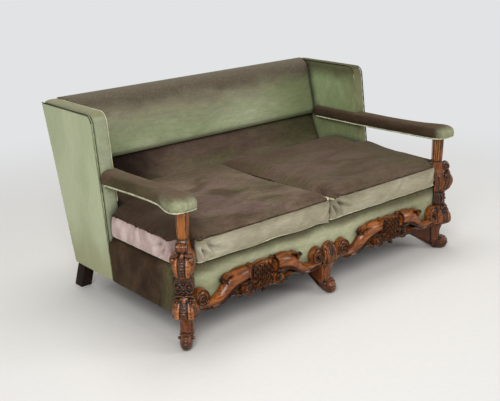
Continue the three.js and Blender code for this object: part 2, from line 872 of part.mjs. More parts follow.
// Back webbing
const backWebX = postInnerReach;
const backWebBase = lowerRailBase;
const backWebTop = frameTop - seam;
const backWebPlan = [
  [-backWebX, backWebBase],
  [backWebX, backWebBase],
  [backWebX, backWebTop],
  [-backWebX, backWebTop],
];
const backWebHoles = latticeHoles(
  -backWebX,
  backWebX,
  backWebBase,
  backWebTop,
  backStripsAcross + 1,
  backStripsAlong + 1,
);
const backGaps = backWebHoles.map((hole) => alongY(hole, -webbingFace - overrun, 0));
const backWebbing = cut(alongY(backWebPlan, -webbingFace, -webbingBack), ...backGaps);
place(suspension, "back_webbing", raked(backWebbing), jute);

// Front border with the padded front edge, cut back at the corner legs
function quarterRound(centreA, centreB, radius, fromAngle, toAngle, steps) {
  const points = [];
  for (let i = 0; i <= steps; i += 1) {
    const angle = (fromAngle + ((toAngle - fromAngle) * i) / steps) * degree;
    points.push([centreA + Math.cos(angle) * radius, centreB + Math.sin(angle) * radius]);
  }
  return points;
}

const cornerRollX = mitreX(borderFaceY) + cornerRollLength;
const cornerFar = legReach * 2;
const cornerRoom = alongZ(
  [
    [mitreX(borderFaceY - cornerFar), borderFaceY - cornerFar],
    [mitreX(rollBackY + cornerFar), borderFaceY - cornerFar],
    [mitreX(rollBackY + cornerFar), rollBackY + cornerFar],
  ],
  undersideHeight - overrun,
  deckHeight + overrun,
);

function frontBorder() {
  const outline = [
    [borderFaceY, undersideHeight],
    [borderFaceY + borderThickness, undersideHeight],
    [borderFaceY + borderThickness, railTop + seam],
    [rollBackY, railTop + seam],
    [rollBackY, deckHeight],
    ...quarterRound(
      borderFaceY + frontRollRadius,
      deckHeight - frontRollRadius,
      frontRollRadius,
      90,
      180,
      5,
    ),
  ];
  const border = alongX(outline, -cornerRollX, cornerRollX);
  return cut(border, cornerRoom, mirroredX(cornerRoom));
}

place(covers, "front_border", frontBorder(), sageVelvet);

// Side borders, with a rounded padded top on the side rail
function sideBorder() {
  const rollReach = wingThickness - sideRollFlat - seam;
  const rollBase = deckHeight - sideRollHeight;
  const curve = [];
  const steps = 6;
  for (let i = 0; i <= steps; i += 1) {
    const angle = (i / steps) * 90 * degree;
    const x = halfWidth - rollReach + Math.cos(angle) * rollReach;
    curve.push([x, rollBase + Math.sin(angle) * sideRollHeight]);
  }
  const outline = [
    [halfWidth, undersideHeight],
    ...curve,
    [insideX + seam, deckHeight],
    [insideX + seam, railTop + seam],
    [borderInnerX, railTop + seam],
    [borderInnerX, undersideHeight],
  ];
  const low = undersideHeight - overrun;
  const high = deckHeight + overrun;
  const beyond = wingFrontY(high) + overrun * 2;
  const border = alongY(outline, borderFaceY, beyond);
  const wingSide = (base, before) => [
    [wingFrontY(base) - before - seam, base],
    [wingFrontY(high) - before - seam, high],
    [beyond + overrun, high],
    [beyond + overrun, base],
  ];
  const panelRoom = alongX(wingSide(low, 0), insideX - overrun, halfWidth + overrun);
  const padRoom = alongX(
    wingSide(wingPadBase - seam, wingDome),
    insideX - overrun,
    wingFrameOuterX + seam,
  );
  const frontRoom = blockBetween(
    insideX - overrun,
    cornerRollX + seam,
    borderFaceY - overrun,
    rollBackY + seam,
    low,
    high,
  );
  return cut(border, panelRoom, padRoom, frontRoom, cornerRoom);
}

placePair(covers, "side_border", sideBorder(), brownVelvet);

// Outer wing panels
function wingOutline(grow, backInset, base) {
  const radius = wingCornerRadius;
  const corner = [];
  const steps = 5;
  const top = backHeight + grow;
  const centreZ = top - radius;
  const centreY = wingFrontY(centreZ) - grow + radius;
  for (let i = 0; i <= steps; i += 1) {
    const angle = (180 - (90 * i) / steps) * degree;
    corner.push([centreY + Math.cos(angle) * radius, centreZ + Math.sin(angle) * radius]);
  }
  return [
    [outerBackY(base) - backInset, base],
    [wingFrontY(base) - grow, base],
    ...corner,
    [outerBackY(backHeight) - backInset, top],
    [outerBackY(backHeight) - backInset, backHeight],
  ];
}

const outerPanel = alongX(
  wingOutline(0, 0, undersideHeight).slice(0, -1),
  halfWidth - outerPanelThickness,
  halfWidth,
);
placePair(covers, "outer_wing_panel", outerPanel, sageVelvet);

// Wing pads: a padded tray over the wing frame, swelling past the outer panel's edge
const wingDomeShares = [
  [0, 0.15],
  [0.08, 0.75],
  [0.3, 1],
  [0.7, 0.95],
  [1, 0.5],
];

function wingPad() {
  const padWidth = wingFrameOuterX - wingInnerX;
  const rings = wingDomeShares.map(([across, domeShare]) => {
    const x = wingInnerX + across * padWidth;
    const outline = wingOutline(wingDome * domeShare, postBack, wingPadBase);
    return outline.map(([y, z]) => new THREE.Vector3(x, y, z));
  });
  const cavityTop = frameTop + seam;
  const front = (z) => wingFrontY(z) + wingFrontPadding - seam;
  const low = wingPadBase - overrun;
  const cavity = alongX(
    [
      [front(low), low],
      [front(cavityTop), cavityTop],
      [backY + overrun, cavityTop],
      [backY + overrun, low],
    ],
    wingInnerX + wingSkin,
    wingFrameOuterX + overrun,
  );
  const backFrameRoom = alongX(
    [
      [outerBackY(low) - padBack, low],
      [outerBackY(cavityTop) - padBack, cavityTop],
      [backY + overrun, cavityTop],
      [backY + overrun, low],
    ],
    wingInnerX - overrun,
    wingFrameOuterX + overrun,
  );
  const railSlot = alongX(armRailOutline(seam), armRailX0 - seam, armRailX1 + seam);
  return cut(loft(rings), cavity, backFrameRoom, railSlot);
}

placePair(covers, "wing_pad", wingPad(), sageVelvet);

// Outside back
const outsideBack = blockBetween(
  -wingFrameOuterX,
  wingFrameOuterX,
  -backPanelThickness,
  0,
  undersideHeight + seam,
  backHeight,
);
place(covers, "outside_back_panel", raked(outsideBack), sageVelvet);

// Back pads: the face of each, from its foot up, as shares of its depth and height
const upperPadShares = [
  [0.73, 0],
  [0.885, 0.05],
  [0.947, 0.103],
  [0.942, 0.29],
  [0.952, 0.51],
  [1, 0.79],
  [0.98, 0.89],
  [0.923, 0.943],
  [0.808, 0.977],
  [0.635, 0.993],
  [0.385, 1],
  [0.144, 0.99],
  [0.03, 0.963],
];
const lowerPadShares = [
  [0.88, 0],
  [1, 0.23],
  [0.99, 0.285],
  [0.966, 0.35],
  [0.798, 0.58],
  [0.674, 0.742],
  [0.562, 0.905],
  [0.51, 1],
];

function padOutline(shares, padDepth, base, top, rear) {
  const face = shares.map(([depthShare, heightShare]) => {
    return [-Math.max(depthShare * padDepth, 0), base + heightShare * (top - base)];
  });
  return [...face, ...rear];
}

// Each end of a pad is drawn in where it meets the wing.
function backPad(outline) {
  const middle = outline.reduce((sum, [y, z]) => [sum[0] + y, sum[1] + z], [0, 0]);
  const centreY = middle[0] / outline.length;
  const centreZ = middle[1] / outline.length;
  const ring = (x, draw) => {
    return outline.map(([y, z]) => {
      const pullY = y < centreY ? draw : 0;
      const pullZ = z > centreZ && y < -padBack ? draw * half : 0;
      return new THREE.Vector3(x, y + pullY, z - pullZ);
    });
  };
  const inner = insideX - padEndRounding * 2;
  const rings = [
    ring(-insideX, padEndRounding),
    ring(-inner, padEndRounding * 0.2),
    ring(-inner * half, 0),
    ring(inner * half, 0),
    ring(inner, padEndRounding * 0.2),
    ring(insideX, padEndRounding),
  ];
  return rings;
}

function prismRings(rings) {
  const count = rings[0].length;
  const flat = rings[0].map((point) => new THREE.Vector2(point.y, point.z));
  const caps = THREE.ShapeUtils.triangulateShape(flat, []);
  const positions = rings.flat().flatMap((point) => point.toArray());
  const faces = [];
  for (let r = 0; r + 1 < rings.length; r += 1) {
    for (let i = 0; i < count; i += 1) {
      const a = r * count + i;
      const b = r * count + ((i + 1) % count);
      faces.push(a, b, b + count, a, b + count, a + count);
    }
  }
  const last = (rings.length - 1) * count;
  const outward = THREE.ShapeUtils.area(flat) > 0;
  caps.forEach(([a, b, c]) => {
    faces.push(a, outward ? c : b, outward ? b : c);
    faces.push(last + a, last + (outward ? b : c), last + (outward ? c : b));
  });
  const geometry = new THREE.BufferGeometry();
  geometry.setAttribute("position", new THREE.Float32BufferAttribute(positions, 3));
  geometry.setIndex(faces);
  return geometry;
}

const upperPadRear = [
  [0, backHeight + seam],
  [-postBack, backHeight + seam],
  [-postBack, frameTop + seam],
  [-padBack, frameTop + seam],
  [-padBack, creaseHeight],
];
const lowerPadTop = creaseHeight - seam;
const lowerPadRear = [
  [-padBack, lowerPadTop],
  [-padBack, railTop + seam],
];
const upperOutline = padOutline(upperPadShares, upperPadDepth, creaseHeight, upperPadTop, upperPadRear);
const lowerOutline = padOutline(lowerPadShares, lowerPadDepth, railTop + seam, lowerPadTop, lowerPadRear);
place(covers, "upper_back_pad", raked(prismRings(backPad(upperOutline))), sageVelvet);
place(covers, "lower_back_pad", raked(prismRings(backPad(lowerOutline))), brownVelvet);

// Arm pads: rows from the wing to the tip give the place along the arm, the inner side, the outer
// side, the underside and the top. Sides are shares of the pad's width at the wing.
const armRowShares = [
  [0, 0, 0.96, 0, 0.97],
  [0.1, 0, 0.93, 0, 0.98],
  [0.35, 0, 0.86, 0, 0.98],
  [0.6, 0.01, 0.86, 0, 0.99],
  [0.72, 0.01, 0.93, 0, 1],
  [0.8, 0.01, 1.11, 0, 1],
  [0.87, 0.01, 1.23, 0, 1],
  [0.92, 0.05, 1.23, 0, 0.97],
  [0.96, 0.16, 1.12, 0.04, 0.87],
  [0.985, 0.34, 0.93, 0.14, 0.7],
  [1, 0.53, 0.73, 0.3, 0.5],
];
const armSectionShares = [
  [0.07, 0],
  [0.93, 0],
  [0.985, 0.14],
  [1, 0.35],
  [0.985, 0.58],
  [0.93, 0.78],
  [0.8, 0.93],
  [0.6, 0.995],
  [0.4, 0.995],
  [0.2, 0.93],
  [0.07, 0.78],
  [0.015, 0.58],
  [0, 0.35],
  [0.015, 0.14],
];

function armPad() {
  const innerX = halfWidth - armInset;
  const wingY = wingFrontY(armHeight + armPadHeight);
  const length = wingY - frontY;
  const rings = armRowShares.map(([along, inShare, outShare, lowShare, topShare]) => {
    const y = wingY - along * length;
    const x0 = innerX + inShare * armInset;
    const x1 = innerX + outShare * armInset;
    const under = armUnderZ(Math.max(y, legAxisY - armPaddle));
    const z0 = under + lowShare * armPadHeight;
    const z1 = under + topShare * armPadHeight;
    return armSectionShares.map(([across, up]) => {
      return new THREE.Vector3(x0 + across * (x1 - x0), y, z0 + up * (z1 - z0));
    });
  });
  const front = loft(rings);
  const stripRear = outerBackY(creaseHeight + armStripHeight) - upperPadDepth - padEndRounding;
  const stripWidthX = insideX - innerX;
  const stripBase = armHeight - armRise;
  const strip = alongY(
    [
      [innerX + stripWidthX * 0.2, stripBase],
      [insideX, stripBase],
      [insideX, stripBase + armStripHeight],
      [innerX + stripWidthX * half, stripBase + armStripHeight * 0.97],
      [innerX + stripWidthX * 0.12, stripBase + armStripHeight * 0.8],
      [innerX, stripBase + armStripHeight * 0.4],
      [innerX + stripWidthX * 0.05, stripBase + armStripHeight * 0.15],
    ],
    armRearY - armInset * half,
    stripRear,
  );
  const low = armHeight - armPadHeight;
  const high = armHeight + armPadHeight * 2;
  const wingEdge = (z) => wingFrontY(z) - wingDome - seam;
  const wingSide = [
    [wingEdge(low), low],
    [wingEdge(high), high],
    [backY, high],
    [backY, low],
  ];
  const wing = alongX(wingSide, insideX, halfWidth + armInset);
  const rail = armRailOutline(seam);
  const groove = [
    [rail[0][0], rail[0][1] - overrun],
    [rail[1][0], rail[1][1] - overrun],
    rail[2],
    rail[3],
  ];
  const slot = alongX(groove, armRailX0 - seam, armRailX1 + seam);
  return cut(joined(front, strip), wing, slot);
}

placePair(covers, "arm_pad", armPad(), brownVelvet);

// Seat cushions: the plan's corners, anticlockwise from the inner front corner
const cushionFrontY = borderFaceY - cushionOverhang;
const cushionBackY = outerBackY(deckHeight) - lowerPadDepth - cushionWingGap;
const cushionOuterX = halfWidth - cushionSideInset;
const notchX = halfWidth - cushionNotch;
const notchY = borderFaceY + legFrontInset + cushionNotch - legSideInset;
const behindWingY = wingFrontY(deckHeight) - wingDome - cushionPlay;
const cushionCorners = [
  [cushionSeam, cushionFrontY],
  [notchX, cushionFrontY],
  [notchX, borderFaceY],
  [notchX + cushionNotch - cushionNotchStep, notchY],
  [cushionOuterX, notchY],
  [cushionOuterX, behindWingY],
  [insideX - cushionWingGap, behindWingY + cushionPlay],
  [insideX - cushionWingGap, cushionBackY],
  [cushionSeam, cushionBackY],
];
const cushionStep = 90;

// Points round the plan, each with its inward direction and its place between two corners.
function sampledPlan(corners) {
  const points = [];
  corners.forEach((corner, i) => {
    const next = corners[(i + 1) % corners.length];
    const dx = next[0] - corner[0];
    const dy = next[1] - corner[1];
    const length = Math.hypot(dx, dy);
    const count = Math.max(1, Math.round(length / cushionStep));
    for (let k = 0; k < count; k += 1) {
      const share = k / count;
      points.push({
        x: corner[0] + dx * share,
        y: corner[1] + dy * share,
        nx: -dy / length,
        ny: dx / length,
        draw: count > 2 ? Math.sin(Math.PI * share) : 0,
        corner: k === 0,
      });
    }
  });
  return points.map((point, i) => {
    if (!point.corner) {
      return point;
    }
    const before = points[(i + points.length - 1) % points.length];
    return { ...point, nx: point.nx + before.nx, ny: point.ny + before.ny };
  });
}

// Rows up the border: how far in, how high and how much of the draw, as shares.
const borderRowShares = [
  [1, 0.02, 0],
  [0.35, 0.1, 0.5],
  [0, 0.35, -0.4],
  [0, 0.65, -0.4],
  [0.3, 0.9, 0.6],
  [1, 1, 1],
];
const crownRowShares = [0.9, 0.75, 0.55, 0.32, 0.12];

function seatCushion() {
  const plan = sampledPlan(cushionCorners);
  const base = deckHeight + seam;
  const rings = borderRowShares.map(([inShare, upShare, drawShare]) => {
    return plan.map((point) => {
      const inward = inShare * cushionBulge + drawShare * point.draw * cushionDraw;
      const inset = Math.max(inward, 0);
      const z = base + (upShare - borderRowShares[0][1]) * cushionEdge;
      return new THREE.Vector3(point.x + point.nx * inset, point.y + point.ny * inset, z);
    });
  });
  const edge = rings[rings.length - 1];
  const centre = new THREE.Vector3();
  edge.forEach((point) => centre.addScaledVector(point, 1 / edge.length));
  crownRowShares.forEach((share) => {
    const rise = cushionCrown * (1 - share ** 2.6);
    rings.push(
      edge.map((point) => {
        const x = centre.x + (point.x - centre.x) * share;
        const y = centre.y + (point.y - centre.y) * share;
        return new THREE.Vector3(x, y, point.z + rise);
      }),
    );
  });
  return loft(rings);
}

placePair(looseCushions, "seat_cushion", seatCushion(), brownVelvet);

export default group;
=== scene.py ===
# A two-seat upholstered sofa with square wings and a carved show-wood front.
# Metres. X runs along the seat, -Y is the front, Z is up, and the floor is at 0.
import math

import bmesh
import bpy
import numpy as np
from mathutils import Matrix, Vector, noise
from mathutils.geometry import delaunay_2d_cdt


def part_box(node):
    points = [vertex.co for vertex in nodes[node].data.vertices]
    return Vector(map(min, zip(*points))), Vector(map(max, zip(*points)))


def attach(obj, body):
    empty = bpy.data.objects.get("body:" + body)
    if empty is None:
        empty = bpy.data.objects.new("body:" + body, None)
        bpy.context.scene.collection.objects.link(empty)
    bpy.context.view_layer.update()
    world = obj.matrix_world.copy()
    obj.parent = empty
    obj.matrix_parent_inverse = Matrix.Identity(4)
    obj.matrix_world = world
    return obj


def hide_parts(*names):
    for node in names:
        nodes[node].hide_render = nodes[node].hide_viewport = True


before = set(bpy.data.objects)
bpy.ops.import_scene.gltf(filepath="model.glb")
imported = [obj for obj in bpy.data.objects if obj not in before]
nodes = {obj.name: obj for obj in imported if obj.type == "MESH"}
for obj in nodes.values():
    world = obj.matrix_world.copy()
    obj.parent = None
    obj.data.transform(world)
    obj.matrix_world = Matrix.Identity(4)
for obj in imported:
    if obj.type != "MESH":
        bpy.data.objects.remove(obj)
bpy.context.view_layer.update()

# Sizes shared with the solids
HALF_WIDTH = 0.85
FRONT_Y = -0.539
BACK_Y = 0.539
BACK_HEIGHT = 0.883
UNDERSIDE = 0.148
DECK = 0.358
ARM_HEIGHT = 0.598
ARM_RISE = 0.01
ARM_PAD = 0.06
WING_DEPTH = 0.325
WING_LAP = 0.0123
CREASE = 0.6
RAKE = math.tan(math.radians(14.6))
LEAN = math.tan(math.radians(6.7))
BORDER_FACE = -0.471
LEG_X = 0.803
LEG_Y = -0.462
CENTRE_LEG_Y = -0.453
APRON_START = 0.415
INSIDE_X = 0.7727
RAIL_TOP = 0.262
SEAM = 0.0003

# Where the sofa is seen from: yaw, pitch and roll in degrees, lens in millimetres
CAMERA_PLACE = (-2.6956, -3.1229, 1.6912)
CAMERA_ANGLES = (-40.171, 18.171, -1.401)
CAMERA_LENS = 62.98


def outer_back_y(z):
    return BACK_Y - (BACK_HEIGHT - z) * RAKE


def wing_front_y(z):
    return outer_back_y(UNDERSIDE) - WING_DEPTH + (z - UNDERSIDE) * LEAN


ARM_REAR_Y = wing_front_y(ARM_HEIGHT) - WING_LAP


def arm_under_z(y):
    return ARM_HEIGHT - ARM_RISE * (y - LEG_Y) / (ARM_REAR_Y - LEG_Y)


def set_all(thing, **values):
    for key, value in values.items():
        setattr(thing, key, value)
    return thing


def linked(name, data):
    thing = bpy.data.objects.new(name, data)
    bpy.context.scene.collection.objects.link(thing)
    return thing


def add_camera():
    yaw, pitch, roll = (math.radians(angle) for angle in CAMERA_ANGLES)
    level_share = math.cos(pitch)
    forward = Vector((-math.sin(yaw) * level_share, math.cos(yaw) * level_share, -math.sin(pitch)))
    level = forward.cross(Vector((0, 0, 1))).normalized()
    upright = level.cross(forward)
    right = math.cos(roll) * level + math.sin(roll) * upright
    up = -math.sin(roll) * level + math.cos(roll) * upright
    data = set_all(bpy.data.cameras.new("camera"), sensor_width=36, lens=CAMERA_LENS, clip_end=60)
    camera = linked("camera", data)
    turn = Matrix((right, up, -forward)).transposed()
    camera.matrix_world = Matrix.Translation(CAMERA_PLACE) @ turn.to_4x4()
    bpy.context.scene.camera = camera


add_camera()
bpy.context.scene.view_settings.view_transform = "Standard"


# Material helpers. A shade is red, green and blue up to 255.
def rgb(shade):
    parts = []
    for value in shade:
        share = value / 255
        parts.append(share / 12.92 if share <= 0.04045 else ((share + 0.055) / 1.055) ** 2.4)
    return (*parts, 1)


def plug(tree, value, socket):
    if isinstance(value, bpy.types.NodeSocket):
        tree.links.new(value, socket)
    else:
        socket.default_value = value


def fill_in(tree, node, inputs):
    for key, value in inputs.items():
        plug(tree, value, node.inputs[key])


def new_node(tree, kind, inputs=None, **values):
    """A node with its settings, and with its inputs given by place or by name."""
    node = set_all(tree.nodes.new("ShaderNode" + kind), **values)
    fill_in(tree, node, inputs or {})
    return node


def cleared_tree(owner):
    owner.use_nodes = True
    owner.node_tree.nodes.clear()
    return owner.node_tree


def new_material(name):
    material = bpy.data.materials.new(name)
    tree = cleared_tree(material)
    shader = new_node(tree, "BsdfPrincipled")
    new_node(tree, "OutputMaterial", {"Surface": shader.outputs[0]})
    return material, tree, shader


def mix(tree, factor, first, second, blend="MIX"):
    """Two colours mixed. Each is a shade or a socket."""
    colours = [rgb(part) if isinstance(part, tuple) else part for part in (first, second)]
    inputs = {0: factor, 6: colours[0], 7: colours[1]}
    return new_node(tree, "Mix", inputs, data_type="RGBA", blend_type=blend).outputs[2]


def arithmetic(tree, operation, first, second):
    return new_node(tree, "Math", {0: first, 1: second}, operation=operation).outputs[0]


def ramp(tree, value, low, high, start=0.0, end=1.0):
    inputs = {"Value": value, "From Min": low, "From Max": high, "To Min": start, "To Max": end}
    return new_node(tree, "MapRange", inputs, interpolation_type="SMOOTHSTEP").outputs["Result"]


def span(tree, value, start, end, strength=1.0):
    """A share that grows to its strength from start to end along a value."""
    shares = (strength, 0.0) if start > end else (0.0, strength)
    return ramp(tree, value, min(start, end), max(start, end), *shares)


def place_of(tree):
    return new_node(tree, "TexCoord").outputs["Object"]


def axis_value(tree, axis):
    return new_node(tree, "SeparateXYZ", {0: place_of(tree)}).outputs[axis]


def grain(tree, scale, stretch=(1, 1, 1), turn=(0, 0, 0), detail=3, warp=0, offset=(0, 0, 0)):
    """Soft noise over the object's own place."""
    turned = [math.radians(part) for part in turn]
    inputs = {"Vector": place_of(tree), "Scale": stretch, "Rotation": turned, "Location": offset}
    mapping = new_node(tree, "Mapping", inputs)
    inputs = {"Vector": mapping.outputs[0], "Scale": scale, "Detail": detail, "Distortion": warp}
    return new_node(tree, "TexNoise", inputs).outputs["Fac"]


def surface(tree, shader, colour, rough, layers, inputs):
    """Sets the shader's inputs. Each bump layer is a height, a distance and a strength."""
    fill_in(tree, shader, {"Base Color": colour, "Roughness": rough, **inputs})
    below = {}
    for height, distance, strength in layers:
        layer = {"Height": height, "Distance": distance, "Strength": strength, **below}
        below = {"Normal": new_node(tree, "Bump", layer).outputs[0]}
    fill_in(tree, shader, below)


def velvet(name, light, dark, stretch=(1, 1, 1), turn=(0, 0, 0), patches=4.0, bite=(0.38, 0.62),
           streaks=0.35, grades=(), sheen=0.12, facing=(), shade_reach=0.05, tints=()):
    """Cut pile: the nap lies in broad patches and brushed streaks of a lighter and a darker shade.
    Grades shade it along one or more axes, each with a start and an end; facing does so by the direction a
    face looks, as painted light and shade.
    Ambient occlusion paints shade into creases and corners over a short reach."""
    material, tree, shader = new_material(name)

    def nap(scale, detail, warp, power=1, offset=(0, 0, 0)):
        pulled = tuple(part ** power for part in stretch)
        return grain(tree, scale, pulled, turn, detail, warp, offset)

    colour = mix(tree, ramp(tree, nap(patches, 2, 0.6), *bite), dark, light)
    for scale, offset, shade, strength in tints:
        share = ramp(tree, nap(scale, 3, 0.9, 1, offset), 0.46, 0.62, 0.0, strength)
        colour = mix(tree, share, colour, shade)
    for *spans, shade, strength in grades:
        share = strength
        for axis, start, end in zip(spans[::3], spans[1::3], spans[2::3]):
            wander = arithmetic(tree, "SUBTRACT", nap(7, 3, 0.4), 0.5)
            drift = arithmetic(tree, "MULTIPLY", wander, abs(end - start) * 0.9)
            value = arithmetic(tree, "ADD", axis_value(tree, axis), drift)
            share = arithmetic(tree, "MULTIPLY", share, span(tree, value, start, end))
        colour = mix(tree, share, colour, shade)
    # facing: painted light and shade, a colour mixed in by the direction a face looks
    for axis, start, end, shade, strength in facing:
        normal = new_node(tree, "SeparateXYZ", {0: new_node(tree, "NewGeometry").outputs["Normal"]})
        colour = mix(tree, span(tree, normal.outputs[axis], start, end, strength), colour, shade)
    brushed = nap(26, 4, 0.3, 2)
    stroke = ramp(tree, brushed, 0.3, 0.7, 1 - streaks * 0.5, 1 + streaks * 0.35)
    mottle = ramp(tree, nap(75, 4, 0.8, 1.5), 0.3, 0.7, 1 - streaks * 0.45, 1 + streaks * 0.4)
    shade = arithmetic(tree, "MULTIPLY", stroke, mottle)
    tint = new_node(tree, "CombineColor", {0: shade, 1: shade, 2: shade})
    colour = mix(tree, 1.0, colour, tint.outputs[0], "MULTIPLY")
    pile = grain(tree, 900, detail=2)
    for specks, low, high in ((grain(tree, 130, warp=0.4), 0.45, 0.75), (pile, 0.2, 0.8)):
        colour = mix(tree, ramp(tree, specks, low, high, 0.0, 0.22), colour, dark)
    # painted shade: colour darkened toward dark brown where ambient occlusion finds creases, corners and gaps
    # between parts
    occlusion_shade = new_node(tree, "AmbientOcclusion", {"Distance": shade_reach}, samples=4)
    crease_shade = ramp(tree, occlusion_shade.outputs["AO"], 0.2, 0.85, 0.8, 0.0)
    surface(tree, shader, mix(tree, crease_shade, colour, (34, 27, 20)), ramp(tree, brushed, 0.2, 0.8, 0.78, 0.95),
            [(brushed, 0.002, 0.12), (pile, 0.0004, 0.35)],
            {"Specular IOR Level": 0.05, "Sheen Weight": sheen, "Sheen Roughness": 0.45,
             "Sheen Tint": (0.9, 0.92, 0.82, 1)})
    return material


def polished_wood(name, light, middle, dark, along=(5, 5, 0.6), roughness=(0.22, 0.42), edge=None,
                  stain_and_shade=None, zones=(), specular=0.14, coat=0.4, busy=(0.24, 0.46)):
    """Stained and polished wood: grain along the piece; darker where it is carved, from stain and painted
    shade; lighter on its edges, from wear and painted highlights; painted shade in its grooves and recesses.
    """
    material, tree, shader = new_material(name)
    figure = grain(tree, 12, along, detail=5, warp=1.0)
    fibre = grain(tree, 70, along, detail=4, warp=0.3)
    cloudy = grain(tree, 9, warp=0.5)
    colour = mix(tree, ramp(tree, figure, 0.36, 0.68), middle, light)
    colour = mix(tree, ramp(tree, fibre, 0.5, 0.8, 0.0, 0.3), colour, dark)
    colour = mix(tree, ramp(tree, cloudy, 0.4, 0.7, 0.0, 0.5), colour, middle)
    for axis, start, end, shade, strength in zones:
        colour = mix(tree, span(tree, axis_value(tree, axis), start, end, strength), colour, shade)
    wear_and_shading = new_node(tree, "Attribute", attribute_name="hollow")
    spread = arithmetic(tree, "MULTIPLY", arithmetic(tree, "SUBTRACT", cloudy, 0.5), 0.5)
    depth = arithmetic(tree, "ADD", wear_and_shading.outputs["Fac"], spread)
    # edges lighter: wear, with painted highlights
    if edge:
        colour = mix(tree, ramp(tree, depth, -0.9, -0.3, 0.8, 0.0), colour, edge)
    # busy carving darker: dark stain, with the painted shade of its small recesses
    if stain_and_shade:
        carving = new_node(tree, "Attribute", attribute_name="carved")
        held = arithmetic(tree, "ADD", carving.outputs["Fac"], arithmetic(tree, "MULTIPLY", spread, 0.3))
        colour = mix(tree, ramp(tree, held, *busy, 0.0, 0.85), colour, stain_and_shade)
    # painted shade: darker where ambient occlusion finds recesses
    occlusion_shade = new_node(tree, "AmbientOcclusion", {"Distance": 0.014}, samples=8, only_local=True)
    colour = mix(tree, ramp(tree, occlusion_shade.outputs["AO"], 0.25, 0.95, 0.85, 0.0), colour, dark)
    # grooves darker: painted shade
    colour = mix(tree, ramp(tree, depth, 0.1, 0.7, 0.0, 0.9), colour, dark)
    surface(tree, shader, colour, ramp(tree, cloudy, 0.3, 0.7, *roughness),
            [(fibre, 0.0004, 0.25), (cloudy, 0.003, 0.12)],
            {"Specular IOR Level": specular, "Coat Weight": coat, "Coat Roughness": 0.1})
    return material


def raw_cloth(name, light, dark, pitch):
    """Plain woven cloth: crossing threads with slubs."""
    material, tree, shader = new_material(name)
    threads = []
    for axis in (0, 1):
        place = arithmetic(tree, "MULTIPLY", axis_value(tree, axis), 2 * math.pi / pitch)
        threads.append(arithmetic(tree, "SINE", place, 0.0))
    weave = arithmetic(tree, "MULTIPLY", *threads)
    slub = grain(tree, 60, detail=4)
    colour = mix(tree, ramp(tree, slub, 0.3, 0.7), dark, light)
    colour = mix(tree, ramp(tree, weave, -1.0, 1.0, 0.0, 0.35), colour, dark)
    surface(tree, shader, colour, ramp(tree, slub, 0.2, 0.8, 0.82, 0.9),
            [(weave, 0.0005, 0.6), (slub, 0.001, 0.3)], {"Specular IOR Level": 0.2})
    return material


def drawn_steel(name):
    material, tree, shader = new_material(name)
    rust = grain(tree, 30, detail=5)
    colour = mix(tree, ramp(tree, rust, 0.5, 0.7), (128, 130, 133), (96, 70, 52))
    surface(tree, shader, colour, ramp(tree, rust, 0.4, 0.7, 0.32, 0.75), [(rust, 0.0005, 0.3)],
            {"Metallic": 0.9})
    return material


wing_cover = velvet(
    "sage_velvet_wing", (184, 191, 157), (172, 180, 146), (1.6, 1.6, 0.8), patches=2.0, streaks=0.08,
    grades=[(2, 0.42, 0.15, (150, 148, 112), 0.75)], sheen=0.15)
# the last grade paints the left wing's lining lighter: painted light from the lamp on the left
LINING_GRADES = [
    (1, 0.26, 0.1, (120, 126, 88), 0.6), (2, 0.78, 0.87, (74, 70, 48), 0.95),
    (0, -0.7, -0.75, (156, 160, 134), 0.9)]
wing_linings = {}
# left and right linings are lit and shaded copies: faces that look up are painted darker, the right wing's
# much darker, and the right wing's faces that look forward browner, as painted shade
for side, top, strength in (("left", (122, 114, 88), 0.8), ("right", (60, 50, 38), 0.95)):
    front = (1, -0.3, -0.75, (112, 98, 72), 0.6 * (side == "right"))
    wing_linings[side] = velvet(side + "_sage_velvet_lining", (152, 166, 122), (132, 145, 102),
                                patches=5.0, streaks=0.18, grades=LINING_GRADES,
                                facing=[front, (2, 0.3, 0.7, top, strength)])
# the top of the roll is painted greyer and then dark mauve-brown: painted shade by how the light falls on the
# roll
back_upper = velvet(
    "sage_velvet_back", (158, 163, 132), (136, 144, 110), (0.8, 2, 1.6), patches=3.0, streaks=0.2,
    grades=[(2, 0.67, 0.8, (136, 128, 108), 0.85), (0, 0.25, 0.6, (112, 122, 82), 0.8),
        (2, 0.765, 0.86, (82, 66, 60), 0.97)])
# the last grade paints the left end near black: the painted shadow of the left wing
back_lower = velvet(
    "brown_velvet_back", (106, 88, 76), (78, 63, 53), (0.8, 2, 1), patches=2.4, streaks=0.28, sheen=0.03,
    tints=[(3.4, (1, 6, 3), (92, 90, 62), 0.6)],
    grades=[(0, 0.2, 0.6, (84, 82, 56), 0.8), (2, 0.5, 0.44, (116, 110, 84), 0.5),
        (0, -0.2, -0.5, (24, 15, 12), 0.97)])
# facing paints the top lighter and the first grade paints the right arm darker: painted light and shade
arm_cover = velvet(
    "brown_velvet_arm", (92, 75, 59), (62, 48, 35), (2, 0.6, 1), patches=5.0, streaks=0.28, sheen=0.04,
    facing=[(2, 0.6, 1.0, (104, 88, 72), 0.4)],
    tints=[(6.0, (2, 5, 1), (82, 80, 54), 0.5)],
    grades=[(0, 0.6, 0.7, (62, 49, 36), 0.7),
        (1, -0.34, -0.47, 2, 0.655, 0.62, 0, -0.77, -0.81, (158, 164, 128), 0.92),
        (1, -0.46, -0.52, 2, 0.67, 0.635, (158, 162, 128), 0.9)])
